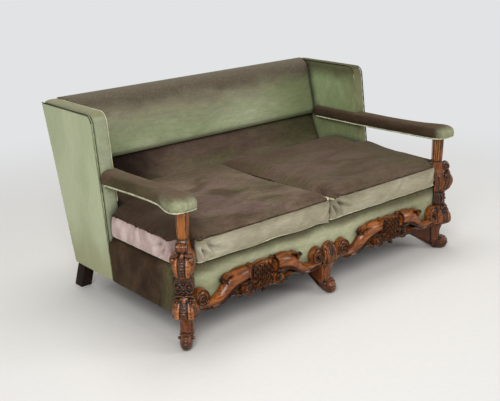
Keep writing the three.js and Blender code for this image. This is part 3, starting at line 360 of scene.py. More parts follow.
# the first grade paints the left end darker and the last the rear darker: painted shade by the left wing and
# under the back
seat_top = velvet(
    "brown_velvet_seat", (116, 100, 82), (76, 60, 47), (0.9, 1.6, 1), (0, 0, 42), patches=4.6,
    bite=(0.3, 0.68), streaks=0.32, sheen=0.05,
    tints=[(3.2, (3, 1, 0), (98, 94, 66), 0.7), (3.8, (7.5, 4, 2), (116, 94, 88), 0.55)],
    grades=[(0, -0.5, -0.78, (58, 44, 33), 0.8), (0, -0.03, 0.03, (78, 62, 50), 0.5),
        (0, 0.42, 0.8, (82, 76, 54), 0.75), (1, 0.0, 0.2, (76, 60, 48), 0.6)])
# the first two grades paint the front darker under its top seam and at its foot: painted shade, leaving a
# lighter band of painted sheen between them
seat_front = velvet(
    "sage_velvet_seat_front", (184, 177, 155), (150, 142, 119), (0.8, 1, 1.9), (0, 14, 0),
    bite=(0.25, 0.75), streaks=0.2, shade_reach=0.03,
    grades=[(2, 0.415, 0.458, (126, 117, 96), 0.75), (2, 0.385, 0.365, (150, 142, 118), 0.4),
        (0, 0.3, 0.8, (140, 130, 106), 0.45)])
# the grade paints the top of the side darker under its seam: painted shade
seat_side = velvet(
    "rose_velvet_seat_side", (210, 189, 184), (182, 159, 153), (1.2, 1.2, 0.8), patches=9.0, streaks=0.18,
    grades=[(2, 0.42, 0.46, (150, 124, 118), 0.5)], shade_reach=0.03)
# the first grade paints a pale band across the middle of the border, a painted highlight; the last paints a
# dark band under the cushions, a painted shadow
front_cover = velvet(
    "sage_velvet_front", (176, 178, 144), (150, 154, 120), (0.8, 2, 1.4), patches=3.0, streaks=0.2,
    grades=[(2, 0.22, 0.28, (186, 186, 154), 0.7), (0, -0.4, -0.8, (144, 146, 112), 0.6),
        (0, 0.25, 0.7, (128, 124, 94), 0.6), (2, 0.285, 0.335, (74, 64, 44), 0.95)])
side_cover = velvet(
    "brown_velvet_side", (76, 59, 43), (50, 36, 26), (2, 1.2, 0.8), streaks=0.34,
    grades=[(1, -0.33, -0.43, (98, 94, 66), 0.8)], sheen=0.04)
deck_cover = velvet("brown_velvet_deck", (88, 74, 60), (66, 54, 44), streaks=0.2, sheen=0.05)
outside_cover = velvet(
    "sage_velvet_outside", (170, 180, 142), (148, 158, 120), (1, 2, 0.6), patches=1.6, streaks=0.16)
cords = {}
for name, light, dark, sheen, shade_reach in (("brown", (84, 66, 52), (58, 44, 34), 0.05, 0.006),
                                         ("pale", (206, 204, 172), (172, 172, 138), 0.12, 0.006),
                                         ("sage", (142, 148, 114), (118, 124, 92), 0.12, 0.004),
                                         ("olive", (70, 62, 40), (52, 46, 30), 0.05, 0.006)):
    cords[name] = velvet(name + "_cord", light, dark, patches=20, streaks=0.3, sheen=sheen, shade_reach=shade_reach)

# edge: the lighter colour of edges, wear with painted highlights; stain: the darker colour of busy carving,
# stain with painted shade
POLISH = {
    "light": (172, 98, 38), "middle": (100, 51, 20), "dark": (6, 3, 2), "edge": (214, 140, 76),
    "stain_and_shade": (46, 23, 12)}
PLAIN = {"roughness": (0.6, 0.8), "coat": 0.0}
# the last zone paints the right front leg darker: painted shade
walnut = polished_wood(
    "walnut", **POLISH, zones=[(2, 0.16, 0.08, (92, 46, 26), 0.6), (2, 0.05, 0.035, (60, 28, 22), 0.7),
        (2, 0.455, 0.5, (178, 108, 44), 0.5), (0, 0.5, 0.8, (62, 32, 15), 0.45)])
walnut_across = polished_wood("walnut_across", **POLISH, along=(0.6, 5, 5), busy=(0.3, 0.58))
dark_wood = polished_wood("stained_wood", (40, 22, 13), (27, 14, 8), (10, 5, 3), specular=0.12, **PLAIN)
beech = polished_wood("beech", (206, 172, 122), (184, 148, 100), (120, 90, 58), specular=0.2, **PLAIN)
jute = raw_cloth("jute", (178, 150, 106), (130, 104, 68), 0.004)
hessian = raw_cloth("hessian", (184, 158, 112), (140, 114, 74), 0.003)
wadding = raw_cloth("stuffing", (222, 212, 186), (190, 176, 146), 0.02)
black_cloth = raw_cloth("black_cloth", (44, 42, 40), (26, 24, 24), 0.0025)
steel = drawn_steel("spring_steel")


# Mesh helpers
def new_object(name, mesh, *materials):
    piece = linked(name, mesh)
    if len(mesh.materials):
        mesh.materials.clear()
    for material in materials:
        mesh.materials.append(material)
    mesh.shade_smooth()
    return piece


def mesh_of(verts, faces):
    mesh = bpy.data.meshes.new("mesh")
    mesh.from_pydata([tuple(vert) for vert in verts], [], faces)
    mesh.validate()
    mesh.update()
    return mesh


def coordinates(mesh):
    flat = np.zeros(len(mesh.vertices) * 3)
    mesh.vertices.foreach_get("co", flat)
    return flat.reshape(-1, 3)


def normals_of(mesh):
    flat = np.zeros(len(mesh.vertices) * 3)
    mesh.vertex_normals.foreach_get("vector", flat)
    return flat.reshape(-1, 3)


def set_coordinates(mesh, points):
    mesh.vertices.foreach_set("co", np.asarray(points, float).ravel())
    mesh.update()


def bell(value, middle, width):
    return np.exp(-((value - middle) / width) ** 2)


def noises(x, y, z):
    """Soft noise at each of many places."""
    return np.array([noise.noise(Vector(place)) for place in np.broadcast(x, y, z)])


def applied(piece):
    """The piece with its modifiers worked into its mesh."""
    graph = bpy.context.evaluated_depsgraph_get()
    done = bpy.data.meshes.new_from_object(piece.evaluated_get(graph))
    piece.modifiers.clear()
    piece.data = done
    return piece


def modified(piece, kind, **values):
    set_all(piece.modifiers.new(kind.lower(), kind), **values)
    return applied(piece)


def remeshed(piece, voxel, rounds):
    """The piece as one even skin, smoothed by some rounds."""
    modified(piece, "REMESH", mode="VOXEL", voxel_size=voxel, use_smooth_shade=True)
    return modified(piece, "SMOOTH", factor=0.5, iterations=rounds)


def finished(piece, slot, *replaced, body="frame", fill=None):
    """Attaches the piece to the body it rides on and hides the solids it stands for. The slot and the fill
    are not used.
    """
    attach(piece, body)
    if replaced:
        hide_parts(*replaced)


def stuffed(node, material, slot, voxel, rounds, ripple, size, seed, extra=()):
    """A padded cover over the outline of its solid, its edges rounded and its faces a little uneven."""
    piece = new_object(node + "_padding", joined_mesh([nodes[node].data, *extra]), material)
    remeshed(piece, voxel, rounds)
    mesh = piece.data
    points = coordinates(mesh)
    shift = noises(*(points / size + seed).T) * ripple
    set_coordinates(mesh, points + normals_of(mesh) * shift[:, None])
    mesh.materials.clear()
    mesh.materials.append(material)
    mesh.shade_smooth()
    finished(piece, slot, node, fill=0.7)


def quads(row, count):
    """The faces between one ring of points and the next."""
    start = row * count
    pairs = [(start + i, start + (i + 1) % count) for i in range(count)]
    return [(a, b, b + count, a + count) for a, b in pairs]


def outward(mesh, capped=False):
    """The mesh with its faces turned outward, and with its open ends filled if it is capped."""
    work = bmesh.new()
    work.from_mesh(mesh)
    if capped:
        bmesh.ops.holes_fill(work, edges=[edge for edge in work.edges if edge.is_boundary], sides=0)
    bmesh.ops.recalc_face_normals(work, faces=work.faces)
    work.to_mesh(mesh)
    work.free()
    return mesh


def loft_mesh(rings, closed_ends=True):
    """A closed skin over rings of points, which all have the same count."""
    count = len(rings[0])
    verts = [point for ring in rings for point in ring]
    faces = [face for row in range(len(rings) - 1) for face in quads(row, count)]
    for row in (0, len(rings) - 1) if closed_ends else ():
        centre = len(verts)
        verts.append(sum((Vector(point) for point in rings[row]), Vector()) / count)
        for i in range(count):
            a, b = row * count + i, row * count + (i + 1) % count
            faces.append((centre, a, b) if row else (centre, b, a))
    return outward(mesh_of(verts, faces))


def circle(centre, first, second, sides, size):
    """Points round a centre in the plane of two directions; size gives the radius at an angle."""
    angles = [2 * math.pi * k / sides for k in range(sides)]
    return [centre + (first * math.cos(a) + second * math.sin(a)) * size(a) for a in angles]


def tube_mesh(path, radius, closed=False, sides=8):
    """A round cord along a line of points."""
    points = [Vector(point) for point in path]
    count = len(points)
    rings = []
    normal = None
    for i, point in enumerate(points):
        before = points[i - 1] if closed or i else point
        after = points[(i + 1) % count] if closed or i + 1 < count else point
        along = (after - before).normalized()
        if normal is None:
            normal = along.orthogonal().normalized()
        normal = (normal - along * normal.dot(along)).normalized()
        rings.append(circle(point, normal, along.cross(normal), sides, lambda angle: radius))
    if closed:
        first, last = rings[0], rings[-1]
        gaps = [sum((first[(k + s) % sides] - last[k]).length for k in range(sides)) for s in range(sides)]
        step = gaps.index(min(gaps))
        rings.append([first[(k + step) % sides] for k in range(sides)])
    return loft_mesh(rings, not closed)


def smooth_line(points, count, closed=False):
    """Evenly spaced points on a smooth curve through the given ones."""
    given = np.array([list(point) for point in points], float)
    if closed:
        padded = np.vstack([given[-1], given, given[0], given[1]])
    else:
        padded = np.vstack([2 * given[0] - given[1], given, 2 * given[-1] - given[-2]])
    dense = []
    for s in range(len(padded) - 3):
        p0, p1, p2, p3 = padded[s:s + 4]
        for t in np.arange(16) / 16:
            dense.append(0.5 * (2 * p1 + (p2 - p0) * t + (2 * p0 - 5 * p1 + 4 * p2 - p3) * t * t
                                + (3 * p1 - p0 - 3 * p2 + p3) * t ** 3))
    dense.append(given[0] if closed else given[-1])
    dense = np.array(dense)
    steps = np.concatenate([[0], np.cumsum(np.linalg.norm(np.diff(dense, axis=0), axis=1))])
    marks = np.linspace(0, steps[-1], count + 1 if closed else count)
    line = np.column_stack([np.interp(marks, steps, column) for column in dense.T])
    return line[:-1] if closed else line


def mirrored(mesh):
    """The same mesh on the other side of the sofa."""
    copy = mesh.copy()
    set_coordinates(copy, coordinates(copy) * (-1, 1, 1))
    copy.flip_normals()
    return copy


def joined_mesh(meshes):
    work = bmesh.new()
    for mesh in meshes:
        work.from_mesh(mesh)
    whole = bpy.data.meshes.new("whole")
    work.to_mesh(whole)
    work.free()
    return whole


# Seat cushions: two skins over the plan and a boxed border, blown up as cloth
CUSHION_INNER = 0.0015
CUSHION_OUTER = 0.836
CUSHION_FRONT = -0.491
CUSHION_REAR = 0.307
WING_CORNER = 0.767
CUT_INNER = (0.754, -0.471)
CUT_OUTER = (0.812, -0.413)
CUSHION_PLAN = [
    (CUSHION_INNER, CUSHION_FRONT), (CUT_INNER[0], CUSHION_FRONT), CUT_INNER, CUT_OUTER,
    (CUSHION_OUTER, CUT_OUTER[1]), (CUSHION_OUTER, 0.022), (WING_CORNER, 0.034),
    (WING_CORNER, CUSHION_REAR), (CUSHION_INNER, CUSHION_REAR)]
CUSHION_BASE = DECK + SEAM
CUSHION_TOP = 0.46
CUSHION_SEAM = 0.455
CUSHION_PITCH = 0.013
ROW_SHARE = 0.87
BORDER_ROWS = 9
TOP_MARK, FRONT_MARK, SIDE_MARK, UNDER_MARK = range(4)
FRONT_START = -0.48
SIDE_START = 0.825
WING_BULGE_Y = 0.06
POST_PLACE = (0.79, -0.44)

# Folds run between two places, each along the border and up, and have a width and a height
FRONT_FOLDS = {
    "left": [(0.006, 0.44, 0.05, 0.37, 0.010, 0.009), (0.744, 0.452, 0.68, 0.372, 0.011, 0.016),
        (0.75, 0.44, 0.728, 0.365, 0.008, 0.012), (0.735, 0.456, 0.61, 0.4, 0.012, 0.01)],
    "right": [(0.012, 0.452, 0.075, 0.372, 0.010, 0.021), (0.02, 0.456, 0.15, 0.40, 0.011, 0.015),
        (0.006, 0.435, 0.03, 0.362, 0.008, 0.014), (0.74, 0.448, 0.69, 0.38, 0.010, 0.012),
        (0.5, 0.45, 0.43, 0.39, 0.012, 0.006)]}
SIDE_FOLDS = [
    (-0.405, 0.45, -0.33, 0.37, 0.010, 0.012), (-0.408, 0.435, -0.375, 0.365, 0.008, 0.012),
    (-0.4, 0.455, -0.28, 0.41, 0.010, 0.008), (-0.17, 0.455, -0.185, 0.38, 0.009, 0.006)]


def rounded_plan(corners, radius, pitch):
    """Points round a plan whose corners are rounded, at an even pitch."""
    line = []
    for i, corner in enumerate(corners):
        here, before, after = Vector(corner), Vector(corners[i - 1]), Vector(corners[(i + 1) % len(corners)])
        reach = min(radius, (before - here).length * 0.45, (after - here).length * 0.45)
        start = here + (before - here).normalized() * reach
        end = here + (after - here).normalized() * reach
        for t in np.arange(7) / 6:
            line.append(start * (1 - t) ** 2 + here * 2 * t * (1 - t) + end * t * t)
    line.append(line[0])
    steps = [0.0]
    for a, b in zip(line, line[1:]):
        steps.append(steps[-1] + (b - a).length)
    marks = np.linspace(0, steps[-1], round(steps[-1] / pitch) + 1)[:-1]
    return np.column_stack([np.interp(marks, steps, [p[k] for p in line]) for k in (0, 1)])


def inside_points(loop, pitch):
    """A staggered grid of points inside a loop and clear of its edge, each with its distance from it."""
    low, high = loop.min(0), loop.max(0)
    found = []
    for r in range(1, int((high[1] - low[1]) / (pitch * ROW_SHARE))):
        y = low[1] + r * pitch * ROW_SHARE
        x = low[0] + pitch * (0.5 + 0.5 * (r % 2))
        while x < high[0]:
            spans = loop - np.array([x, y])
            ahead = np.roll(spans, -1, axis=0)
            turn = np.arctan2(spans[:, 0] * ahead[:, 1] - spans[:, 1] * ahead[:, 0], (spans * ahead).sum(1))
            near = np.sqrt((spans ** 2).sum(1).min())
            if abs(turn.sum()) > 3 and near > pitch * 0.65:
                found.append((x, y, near))
            x += pitch
    return found


def triangulated(loop, inner):
    """The points given, the plan's points, its triangles, and the given points each came from."""
    count = len(loop)
    flat = [Vector(p) for p in loop] + [Vector(p[:2]) for p in inner]
    edges = [(i, (i + 1) % count) for i in range(count)]
    made = delaunay_2d_cdt(flat, edges, [], 1, 1e-7)
    return flat, made[0], made[2], made[3]


def edge_gap(x, y):
    """How far a place lies inside the cushion's long edges."""
    gaps = (x - CUSHION_INNER, CUSHION_OUTER - x, y - CUSHION_FRONT, CUSHION_REAR - y)
    return np.minimum.reduce(gaps)


def border_mark(x, y):
    if y < -0.465 and x < 0.756:
        return FRONT_MARK
    return SIDE_MARK if x > 0.79 and y > -0.425 else UNDER_MARK


def cushion_mesh():
    """The cushion before it is filled, with its count of border points and where its parts start."""
    loop = rounded_plan(CUSHION_PLAN, 0.01, CUSHION_PITCH)
    count = len(loop)
    inner = inside_points(loop, CUSHION_PITCH)
    flat, plan, triangles, origins = triangulated(loop, inner)
    place = {index: sources[-1] for index, sources in enumerate(origins) if sources}
    verts = []
    for row in range(BORDER_ROWS + 1):
        z = CUSHION_BASE + row / BORDER_ROWS * (CUSHION_SEAM - CUSHION_BASE)
        verts += [(x, y, z) for x, y in loop]
    top_loop = BORDER_ROWS * count
    top_inner = len(verts)
    for x, y, gap in inner:
        rise = 0.3 * gap + 0.7 * max(edge_gap(x, y), gap)
        verts.append((x, y, CUSHION_SEAM + 0.021 * (1 - math.exp(-rise / 0.034))))
    low_inner = len(verts)
    verts += [(x, y, CUSHION_BASE) for x, y, gap in inner]
    faces = []
    marks = []
    for row in range(BORDER_ROWS):
        faces += quads(row, count)
        marks += [border_mark(*(loop[i] + loop[(i + 1) % count]) / 2) for i in range(count)]
    for triangle in triangles:
        ids = [place[index] for index in triangle]
        if sum(flat[ids[k]].cross(flat[ids[(k + 1) % 3]]) for k in range(3)) < 0:
            ids.reverse()
        faces.append([top_loop + s if s < count else top_inner + s - count for s in ids])
        faces.append([s if s < count else low_inner + s - count for s in reversed(ids)])
        marks += [TOP_MARK, UNDER_MARK]
    mesh = bpy.data.meshes.new("cushion")
    mesh.from_pydata(verts, [], faces)
    mesh.polygons.foreach_set("material_index", marks)
    mesh.update()
    return mesh, count, top_loop, [*range(count), *range(low_inner, len(verts))]


def blown(piece, pinned, seed, pressure=2.6, spare=0.022, cap=0.02):
    """Fills a cloth skin with air, and lets no point go further than the cap."""
    start = coordinates(piece.data)
    jitter = np.random.default_rng(seed).normal(0, 0.0007, start.shape)
    jitter[pinned] = 0
    set_coordinates(piece.data, start + jitter)
    piece.vertex_groups.new(name="pinned").add(pinned, 1.0, "REPLACE")
    modifier = piece.modifiers.new("cloth", "CLOTH")
    cloth = set_all(modifier.settings, quality=5, mass=0.25, air_damping=3, tension_stiffness=12,
                    compression_stiffness=12, shear_stiffness=4, bending_stiffness=0.6, use_pressure=True,
                    uniform_pressure_force=pressure, shrink_min=-spare, vertex_group_mass="pinned")
    cloth.effector_weights.gravity = 0
    set_all(modifier.collision_settings, use_collision=False, use_self_collision=False)
    set_all(modifier.point_cache, frame_start=1, frame_end=22)
    for step in range(1, 21):
        bpy.context.scene.frame_set(step)
    applied(piece)
    bpy.context.scene.frame_set(1)
    moves = coordinates(piece.data) - start
    lengths = np.linalg.norm(moves, axis=1)
    share = np.where(lengths > 1e-9, cap * np.tanh(lengths / cap) / np.maximum(lengths, 1e-9), 1)
    set_coordinates(piece.data, start + moves * share[:, None])


def averaged(values, turns):
    """Values round a loop, each evened out with its neighbours."""
    for turn in range(turns):
        values = (np.roll(values, 1, 0) + values + np.roll(values, -1, 0)) / 3
    return values


def stood_up(points, start, count, top_loop, keep=0.25):
    """Takes back most of what the filling drew the border in by, and eases the top's edge out with it."""
    pull = (points - start)[:, :2]
    end = top_loop + count
    seam = averaged(pull[top_loop:end], 4)
    points[:end, :2] -= (1 - keep) * pull[:end]
    inner = np.arange(end, len(points))
    inner = inner[start[inner, 2] > CUSHION_BASE + 0.02]
    gaps = np.linalg.norm(start[inner, None, :2] - start[None, top_loop:end, :2], axis=2)
    fade = np.exp(-gaps.min(1) / 0.05)
    points[inner, :2] -= (1 - keep) * seam[gaps.argmin(1)] * fade[:, None]


def crowned(points, seam, shift):
    """Shapes the filled top: level along its seam, full by the wing, hollow where people have sat."""
    x, y, z = points.T
    z[seam] = CUSHION_SEAM + 0.4 * averaged(z[seam] - CUSHION_SEAM, 6)
    away = np.clip((z - CUSHION_SEAM - 0.003) / 0.01, 0, 1)
    z += 0.02 * away * bell(x, 0.72, 0.12) * bell(y, WING_BULGE_Y, 0.17)
    room = 0.034 + 0.02 * bell(y, WING_BULGE_Y, 0.17)
    steep = 2 + 2.2 * bell(y, 0.02, 0.16)
    z += 0.012 * away * bell(x, 0.79, 0.05) * bell(y, -0.01, 0.1)
    toward = np.clip((x - 0.68) / 0.155, 0, 1)
    z[:] = np.minimum(z, CUSHION_SEAM + 0.003 + room * (1 - toward ** steep))
    z -= 0.006 * bell(x, 0.4, 0.24) * bell(y, -0.1, 0.22) * np.clip((z - CUSHION_TOP) / 0.012, 0, 1)
    drift = 0.006 * noises(x * 5 + shift, y * 5, 0) + 0.0022 * noises(x * 16 + shift, y * 13, 3)
    z += drift * (z > CUSHION_TOP - 0.004) * np.clip(edge_gap(x, y) / 0.05, 0, 1)


def bulged(points, shift, left):
    """Lets the front's lower edge wander, and pushes the border out between its two seams."""
    x, y, z = points.T
    front = y < FRONT_START
    height = np.clip((z - CUSHION_BASE) / (CUSHION_TOP - CUSHION_BASE), 0, 1)
    wave = noises(x * 7 + shift, 0.3, 0)
    z -= front * (1 - height) * (0.005 + 0.009 * wave)
    if left:
        z -= bell(x, 0, 0.05) * front * (0.009 * (1 - height) + 0.002)
    full = np.sin(np.pi * height) ** 0.8
    ends = np.clip(np.minimum(x, CUT_INNER[0] - x) / 0.04, 0.25, 1)
    y -= front * full * ends * (0.011 + 0.004 * wave)
    x += (x > SIDE_START) * full * 0.007


def ridge(points, fold, side=False):
    """Moves the border's points near a line outward, as a fold does, with a furrow beside it."""
    a, b, (width, height) = np.array(fold[:2]), np.array(fold[2:4]), fold[4:]
    along = b - a
    flat = points[:, [1, 2]] if side else points[:, [0, 2]]
    share = np.clip(((flat - a) @ along) / (along @ along), 0, 1)
    gap = np.linalg.norm(flat - a - share[:, None] * along, axis=1) / width
    fade = np.sin(np.pi * np.clip(share * 0.86 + 0.14, 0, 1)) ** 0.6
    rise = (np.exp(-gap ** 2) - 0.6 * np.exp(-(gap - 1.7) ** 2 * 1.6)) * fade * height
    if side:
        points[:, 0] += rise * (points[:, 0] > SIDE_START)
    else:
        points[:, 1] -= rise * (points[:, 1] < FRONT_START)


def puckered(points, normals, shift):
    """Small gathers on the border near its seams and the post, and bunched cloth over the cut corner."""
    ranks = (points[:, 2] - CUSHION_BASE) / (CUSHION_TOP - CUSHION_BASE)
    border = np.nonzero((ranks > 0.03) & (ranks < 0.97) & (abs(normals[:, 2]) < 0.6))[0]
    x, y, z = points[border].T
    run = np.where(y < -0.485, x, y)
    pucker = noises(run * 42 + shift, z * 6, 1)
    broad = noises(run * 12 + shift, z * 9, 4)
    slant = noises(run * 26 + z * 18 + shift, z * 3, 7)
    near_seam = np.maximum(0, ranks[border] - 0.45) * 1.6 + np.maximum(0, 0.2 - ranks[border])
    near_post = np.maximum(0, 1 - np.hypot(x - POST_PLACE[0], y - POST_PLACE[1]) / 0.1)
    amount = (0.0044 * near_seam + 0.016 * near_post) * pucker + 0.0036 * broad + 0.004 * slant
    points[border] += normals[border] * amount[:, None]
    cut = np.subtract(CUT_OUTER, CUT_INNER)
    cut /= np.linalg.norm(cut)
    offset = points[:, :2] - np.add(CUT_OUTER, CUT_INNER) / 2
    along = offset @ cut
    away = offset @ np.array([-cut[1], cut[0]])
    bunch = bell(along, 0, 0.045) * bell(away, 0, 0.022) * (ranks > 0.6)
    points[:, 2] += bunch * 0.006 * np.sin(along * 2 * math.pi / 0.019 + away * 60)


def kept_clear(points):
    """Holds the cushion inside its room. Its corner keeps clear of the leg, also on the way up."""
    x, y, z = points.T
    x[:] = np.clip(x, 0.0012, 0.856)
    y[:] = np.maximum(y, -0.53)
    outer = x > CUT_OUTER[0]
    y[outer] = np.maximum(y[outer], -0.411)
    limit = np.where(y < CUT_INNER[1], CUT_INNER[0] - 0.002, 1.223 + y)
    x[:] = np.where(~outer & (y < -0.411), np.minimum(x, limit), x)


def seat_cushion(side, air_seed, cloth_seed):
    left = side == "left"
    mesh, count, top_loop, pinned = cushion_mesh()
    piece = new_object(side + "_cushion_cover", mesh, seat_top, seat_front, seat_side, deck_cover)
    start = coordinates(mesh)
    blown(piece, pinned, air_seed)
    points = coordinates(piece.data)
    shift = np.random.default_rng(cloth_seed).uniform(0, 50)
    stood_up(points, start, count, top_loop)
    crowned(points, slice(top_loop, top_loop + count), shift)
    bulged(points, shift, left)
    set_coordinates(piece.data, points)
    modified(piece, "SUBSURF", levels=1, render_levels=1)
    points = coordinates(piece.data)
    for fold in FRONT_FOLDS[side]:
        ridge(points, fold)
    for fold in SIDE_FOLDS:
        ridge(points, fold, True)
    puckered(points, normals_of(piece.data), shift)
    kept_clear(points)
    set_coordinates(piece.data, points)
    if left:
        piece.data = mirrored(piece.data)
    finished(piece, "brown_velvet", side + "_seat_cushion", body=side + "_cushion", fill=0.75)
    for name, first, lift, radius, slot, shades in (
            ("_cushion_top_piping", top_loop, 0.0008, 0.0036, "brown_velvet", ("brown", "pale")),
            ("_cushion_lower_piping", 0, 0.0022, 0.003, "sage_velvet", ("pale",))):
        line = smooth_line(points[first:first + count] + (0, 0, lift), count * 2, True)
        if left:
            line[:, 0] *= -1
        piping = new_object(side + name, tube_mesh(line, radius, True), *[cords[shade] for shade in shades])
        for face in piping.data.polygons:
            x, y, z = face.center
            if first and abs(x) < 0.012 and y < -0.37:
                face.material_index = 1
        finished(piping, slot, body=side + "_cushion")


seat_cushion("left", 11, 5)
seat_cushion("right", 23, 9)


# Back pads. Each face row gives a share of the depth and a share of the height.
PAD_REAR = -0.0381
UPPER_TOP = 0.901
UPPER_DEPTH = 0.104
UPPER_FACE = [
    (0.73, 0), (0.885, 0.05), (0.947, 0.103), (0.942, 0.29), (0.952, 0.51), (1, 0.79), (0.98, 0.89),
    (0.923, 0.943), (0.808, 0.977), (0.635, 0.993), (0.385, 1), (0.144, 0.99), (0.03, 0.963)]
UPPER_REAR = [(0, 0.8833), (-0.0063, 0.8833), (-0.0063, 0.8683), (PAD_REAR, 0.8683), (PAD_REAR, CREASE)]
LOWER_FACE = [
    (0.88, 0), (1, 0.23), (0.99, 0.285), (0.966, 0.35), (0.798, 0.58), (0.674, 0.742), (0.562, 0.905),
    (0.51, 1)]
LOWER_REAR = [(PAD_REAR, CREASE - SEAM), (PAD_REAR, RAIL_TOP + SEAM)]
PAD_STATIONS = 150


def back_pad(name, face, base, top, depth, rear, draw, material, slot, fill, seed):
    """A long roll whose face follows the given profile, drawn in where it meets the wings."""
    profile = [(-share * depth, base + rise * (top - base)) for share, rise in face]
    outline = list(smooth_line(profile, 64)) + rear
    middle_y, middle_z = (sum(p[k] for p in outline) / len(outline) for k in (0, 1))
    rings = []
    for s in range(PAD_STATIONS + 1):
        x = INSIDE_X * (-1 + 2 * s / PAD_STATIONS)
        pull = draw * math.exp(-(INSIDE_X - abs(x)) / 0.015)
        ring = []
        for y, z in outline:
            face_side = y < PAD_REAR - 0.0001
            lean = pull if face_side and y < middle_y else 0
            drop = pull * 0.5 if face_side and z > middle_z else 0
            soft = 0.0
            if y < -0.045:
                soft = 0.0022 * noise.noise(Vector((x * 3.1, z * 7, seed)))
                soft += 0.0008 * noise.noise(Vector((x * 13, z * 16, seed)))
            ring.append((x, y + lean + soft + outer_back_y(z - drop), z - drop))
        rings.append(ring)
    mesh = outward(loft_mesh(rings, False), True)
    piece = new_object(name + "_cover", mesh, material)
    mesh.set_sharp_from_angle(angle=math.radians(50))
    finished(piece, slot, name, fill=fill)


back_pad(
    "upper_back_pad", UPPER_FACE, CREASE, UPPER_TOP, UPPER_DEPTH, UPPER_REAR, 0.022, back_upper,
    "sage_velvet", 0.8, 1.0)
back_pad(
    "lower_back_pad", LOWER_FACE, RAIL_TOP + SEAM, CREASE - SEAM, 0.089, LOWER_REAR, 0.008, back_lower,
    "brown_velvet", 0.7, 2.0)

# Arm pads: rows give the place along the arm, the inner side, the outer side, the underside and the top
ARM_ROWS = [
    (0, 0, 0.96, 0, 0.97), (0.1, 0, 0.93, 0, 0.98), (0.35, 0, 0.86, 0, 0.98), (0.6, 0.01, 0.86, 0, 0.99),
    (0.72, 0.01, 0.93, 0, 1), (0.8, 0.01, 1.11, 0, 1), (0.87, 0.01, 1.23, 0, 1),
    (0.92, 0.05, 1.23, 0, 0.97), (0.96, 0.16, 1.12, 0.04, 0.87), (0.985, 0.34, 0.93, 0.14, 0.7),
    (1, 0.53, 0.73, 0.3, 0.5)]
ARM_SECTION = [
    (0.07, 0), (0.5, 0), (0.93, 0), (0.985, 0.14), (1, 0.35), (0.985, 0.58), (0.93, 0.78), (0.8, 0.93),
    (0.6, 0.995), (0.4, 0.995), (0.2, 0.93), (0.07, 0.78), (0.015, 0.58), (0, 0.35), (0.015, 0.14)]
ARM_INNER = 0.745
ARM_INSET = 0.105
ARM_BASE = ARM_HEIGHT - ARM_RISE
STRIP_TOP = 0.057
RAIL_ROOM = 0.0006
RAIL_HEIGHT = 0.0247


def arm_row(along):
    """The arm pad's place, sides, underside and top at a share of its length."""
    columns = list(zip(*ARM_ROWS))
    inner, outer, low, high = (np.interp(along, columns[0], column) for column in columns[1:])
    start = wing_front_y(ARM_HEIGHT + ARM_PAD)
    y = start - along * (start - FRONT_Y)
    under = arm_under_z(max(y, LEG_Y - 0.025))
    return (y, ARM_INNER + inner * ARM_INSET, ARM_INNER + outer * ARM_INSET, under + low * ARM_PAD,
            under + high * ARM_PAD)


def arm_skin():
    """The arm pad with the padded strip behind it, along the inside of the wing."""
    section = smooth_line(ARM_SECTION, 56, True)
    rings = []
    for s in range(101):
        y, x0, x1, z0, z1 = arm_row(min(s / 90, 0.9 + 0.1 * (1 - (1 - max(s - 81, 0) / 20) ** 2)))
        rings.append([(x0 + across * (x1 - x0), y, z0 + up * (z1 - z0)) for across, up in section])
    outline = [(ARM_INNER + 0.006, 0), (INSIDE_X, 0), (INSIDE_X, STRIP_TOP), (ARM_INNER + 0.0139, 0.0553),
               (ARM_INNER + 0.0033, 0.0456), (ARM_INNER, 0.0228), (ARM_INNER + 0.0014, 0.0086)]
    rear = outer_back_y(CREASE + STRIP_TOP) - UPPER_DEPTH - 0.008
    strip = [[(x, y, ARM_BASE + z) for x, z in outline]
             for y in np.linspace(ARM_REAR_Y - ARM_INSET / 2, rear, 30)]
    return joined_mesh([loft_mesh(rings), loft_mesh(strip)])


def arm_pad():
    piece = remeshed(new_object("arm_pad", arm_skin(), arm_cover), 0.004, 8)
    points = coordinates(piece.data)
    x, y, z = points.T
    amount = 0.0013 * noises(x * 8, y * 5, z * 8)
    # gathers where the cloth is drawn under the rounded front end
    i = np.nonzero(y < -0.4)[0]
    up = (z[i] - arm_under_z(np.maximum(y[i], LEG_Y - 0.025))) / ARM_PAD
    angle = np.arctan2(y[i] + 0.455, x[i] - 0.812)
    gather = np.clip((-0.4 - y[i]) / 0.05, 0, 1) * np.maximum(0, 1 - up / 0.75)
    fold = abs(np.sin(angle * 9 + 1.2 * noises(angle * 2, 0, 0))) ** 0.7
    amount[i] -= 0.0036 * gather * (1 - fold)
    set_coordinates(piece.data, points + normals_of(piece.data) * amount[:, None])
    # room for the arm rail inside it, and for the wing and back behind it
    low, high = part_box("right_arm_rail")
    front = low.y - RAIL_ROOM
    rear = wing_front_y(ARM_BASE) + 0.02
    rail = [(front, arm_under_z(low.y) - 0.02), (rear, arm_under_z(rear) - 0.02),
            (rear, arm_under_z(rear) + RAIL_HEIGHT), (front, arm_under_z(low.y) + RAIL_HEIGHT)]
    below, above = ARM_HEIGHT - 0.06, ARM_HEIGHT + 0.12
    wing = [(wing_front_y(below) - WING_LAP, below), (BACK_Y, below), (BACK_Y, above),
            (wing_front_y(above) - WING_LAP, above)]
    cutters = []
    rail_sides = (low.x - RAIL_ROOM, high.x + RAIL_ROOM)
    for outline, sides in ((rail, rail_sides), (wing, (INSIDE_X, HALF_WIDTH + 0.1))):
        cutters.append(linked("cutter", loft_mesh([[(x, y, z) for y, z in outline] for x in sides])))
        set_all(piece.modifiers.new("cut", "BOOLEAN"), operation="DIFFERENCE", solver="EXACT",
                object=cutters[-1])
    applied(piece)
    for cutter in cutters:
        bpy.data.objects.remove(cutter)
    return piece


